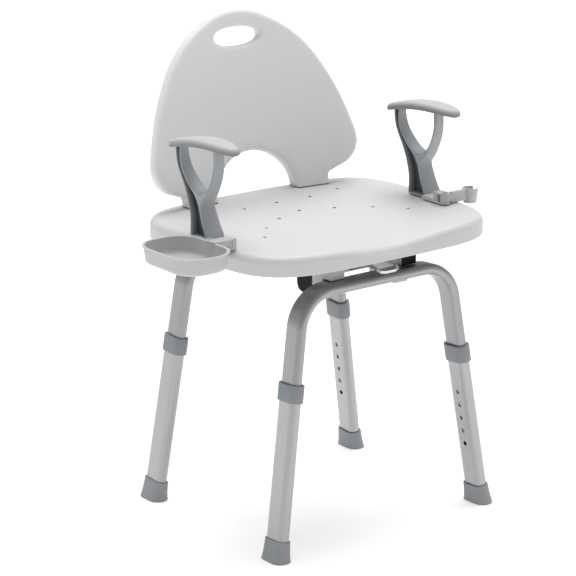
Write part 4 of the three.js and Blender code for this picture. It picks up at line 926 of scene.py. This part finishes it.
def dishBlock():
    # Cap, body and end wall of the block between the bowl and the post
    front, rear = -dish["blockFront"], -dish["blockFront"] + dish["blockDepth"]
    outer, inner = dish["x"] + dish["halfX"] - dish["embed"], -dish["blockInner"]
    low, high, lap, setIn = dish["clipZ"], dish["blockTop"], dish["lap"], dish["blockSetIn"]
    rounding = dish["blockCorner"], dish["blockEdge"]
    cap = roundedBlock((outer, front, high - dish["capHeight"]), (inner, rear, high), *rounding)
    wallX = inner - dish["endWall"]
    body = roundedBlock((outer, front + setIn, low), (wallX + lap, rear - setIn, high - lap))
    wall = roundedBlock((wallX, front, low), (inner, rear, high - lap), *rounding)
    return joined(cap, body, wall)


def dishClip():
    # Web from the bowl, arm along the post and jaw in front of it
    low, high, near = dish["clipZ"], dish["clipZ"] + dish["clipHeight"], -dish["clipNear"]
    armSide, outer = near - dish["clipArmWall"], dish["x"] + dish["halfX"] - dish["embed"]
    web = roundedBlock((outer, dish["webFront"], low), (near, dish["webBack"], high))
    side = roundedBlock((armSide, -dish["blockFront"], low), (near, dish["armBack"], high))
    jaw = roundedBlock((armSide, dish["jawFront"] - dish["clipWall"], low),
                       (near + dish["clipReach"], dish["jawFront"], high))
    return joined(web, side, jaw)


tray = makeMesh("soapTray", joined(bowlPart(), dishBlock(), dishClip()))
place(tray, "soap_dish", "tray_plastic", "tray", "soap_dish")

# Shower holder: a hub on the clip's pin, a bar, and a tapered socket with a slot

holder = {
    "x": 214, "y": -84, "hub": 8.4, "pin": 2.8, "low": 515, "high": 534, "lug": 3, "hubSteps": 36,
    "neckStart": 5, "neckEnd": 13, "neckCorner": 0.8, "neckEdge": 0.4,
    "bar": 4, "barClear": 11.6, "barCorner": 1.2, "barEdge": 0.8,
    "socketX": 57, "topRadius": 14, "bottomRadius": 11.5, "wall": 2.6, "socketLow": 509, "socketHigh": 535,
    "slotHalf": 6, "socketSteps": 48, "lowEase": 0.5, "highEase": 0.7,
}


def openSocket():
    # Tapered ring wall carried round from one lip of the slot to the other
    start = math.asin(holder["slotHalf"] / holder["topRadius"])
    angle = np.linspace(start, 2 * math.pi - start, holder["socketSteps"])[:, None]
    low, high, wall = holder["socketLow"], holder["socketHigh"], holder["wall"]
    wide, narrow = holder["topRadius"], holder["bottomRadius"]
    ease, highEase = holder["lowEase"], holder["highEase"]
    profile = np.array([
        (narrow - wall + ease, low), (narrow - ease, low), (narrow, low + ease), (wide, high - highEase),
        (wide - highEase, high), (wide - wall + highEase, high), (wide - wall, high - highEase),
        (narrow - wall, low + ease)])
    radius, z = profile.T
    centre = holder["x"] + holder["socketX"]
    return cappedGrid(np.stack([centre + radius * np.cos(angle), holder["y"] + radius * np.sin(angle),
                                z + 0 * angle], -1))


def hubTube(low, high):
    # Outer wall up, inner wall down
    radii = [(holder["hub"], low), (holder["hub"], high), (holder["pin"], high), (holder["pin"], low)]
    ring, centre = circle(holder["hubSteps"]), (holder["x"], holder["y"])
    return loopGrid([atHeight(ring * radius + centre, z) for radius, z in radii], closeRows=True)


def holderPart():
    # Neck and bar lap into the hub and the socket, and the bar is as high as the clip
    x, y, bar = holder["x"], holder["y"], holder["bar"]
    low, high = holder["low"] + holder["lug"] + gap, holder["high"] - holder["lug"] - gap
    neck = roundedBlock((x + holder["neckStart"], y - bar, low), (x + holder["neckEnd"], y + bar, high),
                        holder["neckCorner"], holder["neckEdge"])
    beam = roundedBlock((x + holder["barClear"], y - bar, holder["low"]),
                        (x + holder["socketX"] - holder["barClear"], y + bar, holder["high"]),
                        holder["barCorner"], holder["barEdge"])
    return joined(hubTube(low, high), neck, beam, openSocket())


place(makeMesh("holderArm", holderPart()), "holder_arm", "tray_plastic", "tray", "shower_holder_arm")
print("dish and holder made")

bolt = {
    "x": 76, "y": 150, "radius": 3, "headRadius": 5.5, "headHeight": 1.2, "reach": 14, "crownShare": 0.7,
    "brimParts": 3, "steps": 24,
}


def railBolt(sideX, sideY):
    # Low round head under the bar and a shank up into the rail
    cosine, sine = math.cos(tiltY), math.sin(tiltY)
    radius, height = bolt["headRadius"], bolt["headHeight"]
    head = legs["barHeight"] - legs["tubeHalfX"] / cosine - radius * sine - gap
    saddle = legs["barHeight"] + legs["tubeHalfX"] / cosine + legs["tubeHalfY"] * sine + gap
    profile = [(radius * bolt["crownShare"], head - height), (radius, head - height / bolt["brimParts"]),
               (radius, head), (bolt["radius"], head), (bolt["radius"], saddle + bolt["reach"])]
    ring, centre = circle(bolt["steps"]), (sideX * bolt["x"], sideY * bolt["y"])
    return cappedGrid([atHeight(centre + ring * r, z) for r, z in profile])


for sideY in sides:
    for sideX in sides:
        end, wing = ends[sideY], wings[sideX]
        shank = makeMesh(f"{end}{wing.title()}RailBolt", railBolt(sideX, sideY))
        place(shank, "base", "steel", "steel", f"{end}_{wing}_rail_bolt")

# Solids whose shape stands as it is: steel, unless a finish is named here
finishes = {
    "left_rail": "leftRail", "right_rail": "rightRail", "glide_ring": "ring",
    "shower_holder_clip": "tray", "shower_holder_pin": "tray",
}
for name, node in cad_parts.items():
    setMaterial(node, looks[finishes.get(name, "steel")])
print("carried solids finished")

# Stage: pale floor, white surroundings, one soft light and the camera

stage = {
    "half": 30, "colours": ((0.62, 0.62, 0.62), (0.64, 0.64, 0.64)), "noiseScale": 2.0,
    "roughness": 0.9, "specular": 0.1, "glow": 0.51,
}
sun = {"from": (0.22, 0.24, 1.0), "distance": 4, "power": 2.85, "angle": 50}
surroundings = {
    "towards": (-0.61, -0.79, 0.0), "bright": 0.64, "dim": 0.46, "brightUpTo": -0.1, "dimFrom": 0.9,
}
view = {
    "azimuth": 37.6697, "elevation": 17.4093, "distance": 4.2777, "target": (0, 0, 0.308), "lens": 156.26,
    "shiftX": -0.0482, "shiftY": 0.0735,
}


def makeFloor():
    half = stage["half"]
    floor = bpy.data.meshes.new("floor")
    corners = [(-half, -half, 0), (half, -half, 0), (half, half, 0), (-half, half, 0)]
    floor.from_pydata(corners, [], [(0, 1, 2, 3)])
    material, tree, shader = startMaterial("pale floor")
    mottle = rangeOf(tree, noiseOn(tree, stage["noiseScale"]), 0, 1)
    setInputs(tree, shader, {
        "Base Color": mixColours(tree, mottle, *stage["colours"]), "Roughness": stage["roughness"],
        "Specular IOR Level": stage["specular"], "Emission Color": (1, 1, 1, 1),
        "Emission Strength": stage["glow"]})
    floor.materials.append(material)
    plane = addObject("floor", floor)


def makeSun():
    data = bpy.data.lights.new("overhead", "SUN")
    data.energy = sun["power"]
    data.angle = math.radians(sun["angle"])
    lamp = addObject("overhead", data)
    away = Vector(sun["from"])
    lamp.location = away * sun["distance"]
    lamp.rotation_euler = away.to_track_quat("Z", "Y").to_euler()


def makeSurroundings():
    # A white tent all round, somewhat dimmer on the camera's side
    world = bpy.data.worlds.new("surroundings")
    world.use_nodes = True
    tree = world.node_tree
    coordinate = tree.nodes.new("ShaderNodeTexCoord")
    facing = addNode(tree, "ShaderNodeVectorMath", {
        0: coordinate.outputs["Generated"], 1: surroundings["towards"]})
    facing.operation = "DOT_PRODUCT"
    strength = rangeOf(tree, facing.outputs["Value"], surroundings["bright"], surroundings["dim"],
                       surroundings["brightUpTo"], surroundings["dimFrom"])
    setInputs(tree, tree.nodes["Background"], {"Strength": strength, "Color": (1, 1, 1, 1)})
    bpy.context.scene.world = world
    bpy.context.scene.view_settings.view_transform = "Standard"


def makeCamera():
    azimuth, elevation = math.radians(view["azimuth"]), math.radians(view["elevation"])
    away = Vector((-math.sin(azimuth) * math.cos(elevation), -math.cos(azimuth) * math.cos(elevation),
                   math.sin(elevation)))
    data = bpy.data.cameras.new("camera")
    data.lens = view["lens"]
    data.shift_x, data.shift_y = view["shiftX"], view["shiftY"]
    camera = addObject("camera", data)
    camera.location = Vector(view["target"]) + away * view["distance"]
    camera.rotation_euler = (-away).to_track_quat("-Z", "Y").to_euler()
    bpy.context.scene.camera = camera


makeFloor()
makeSun()
makeSurroundings()
makeCamera()
print("stage set")
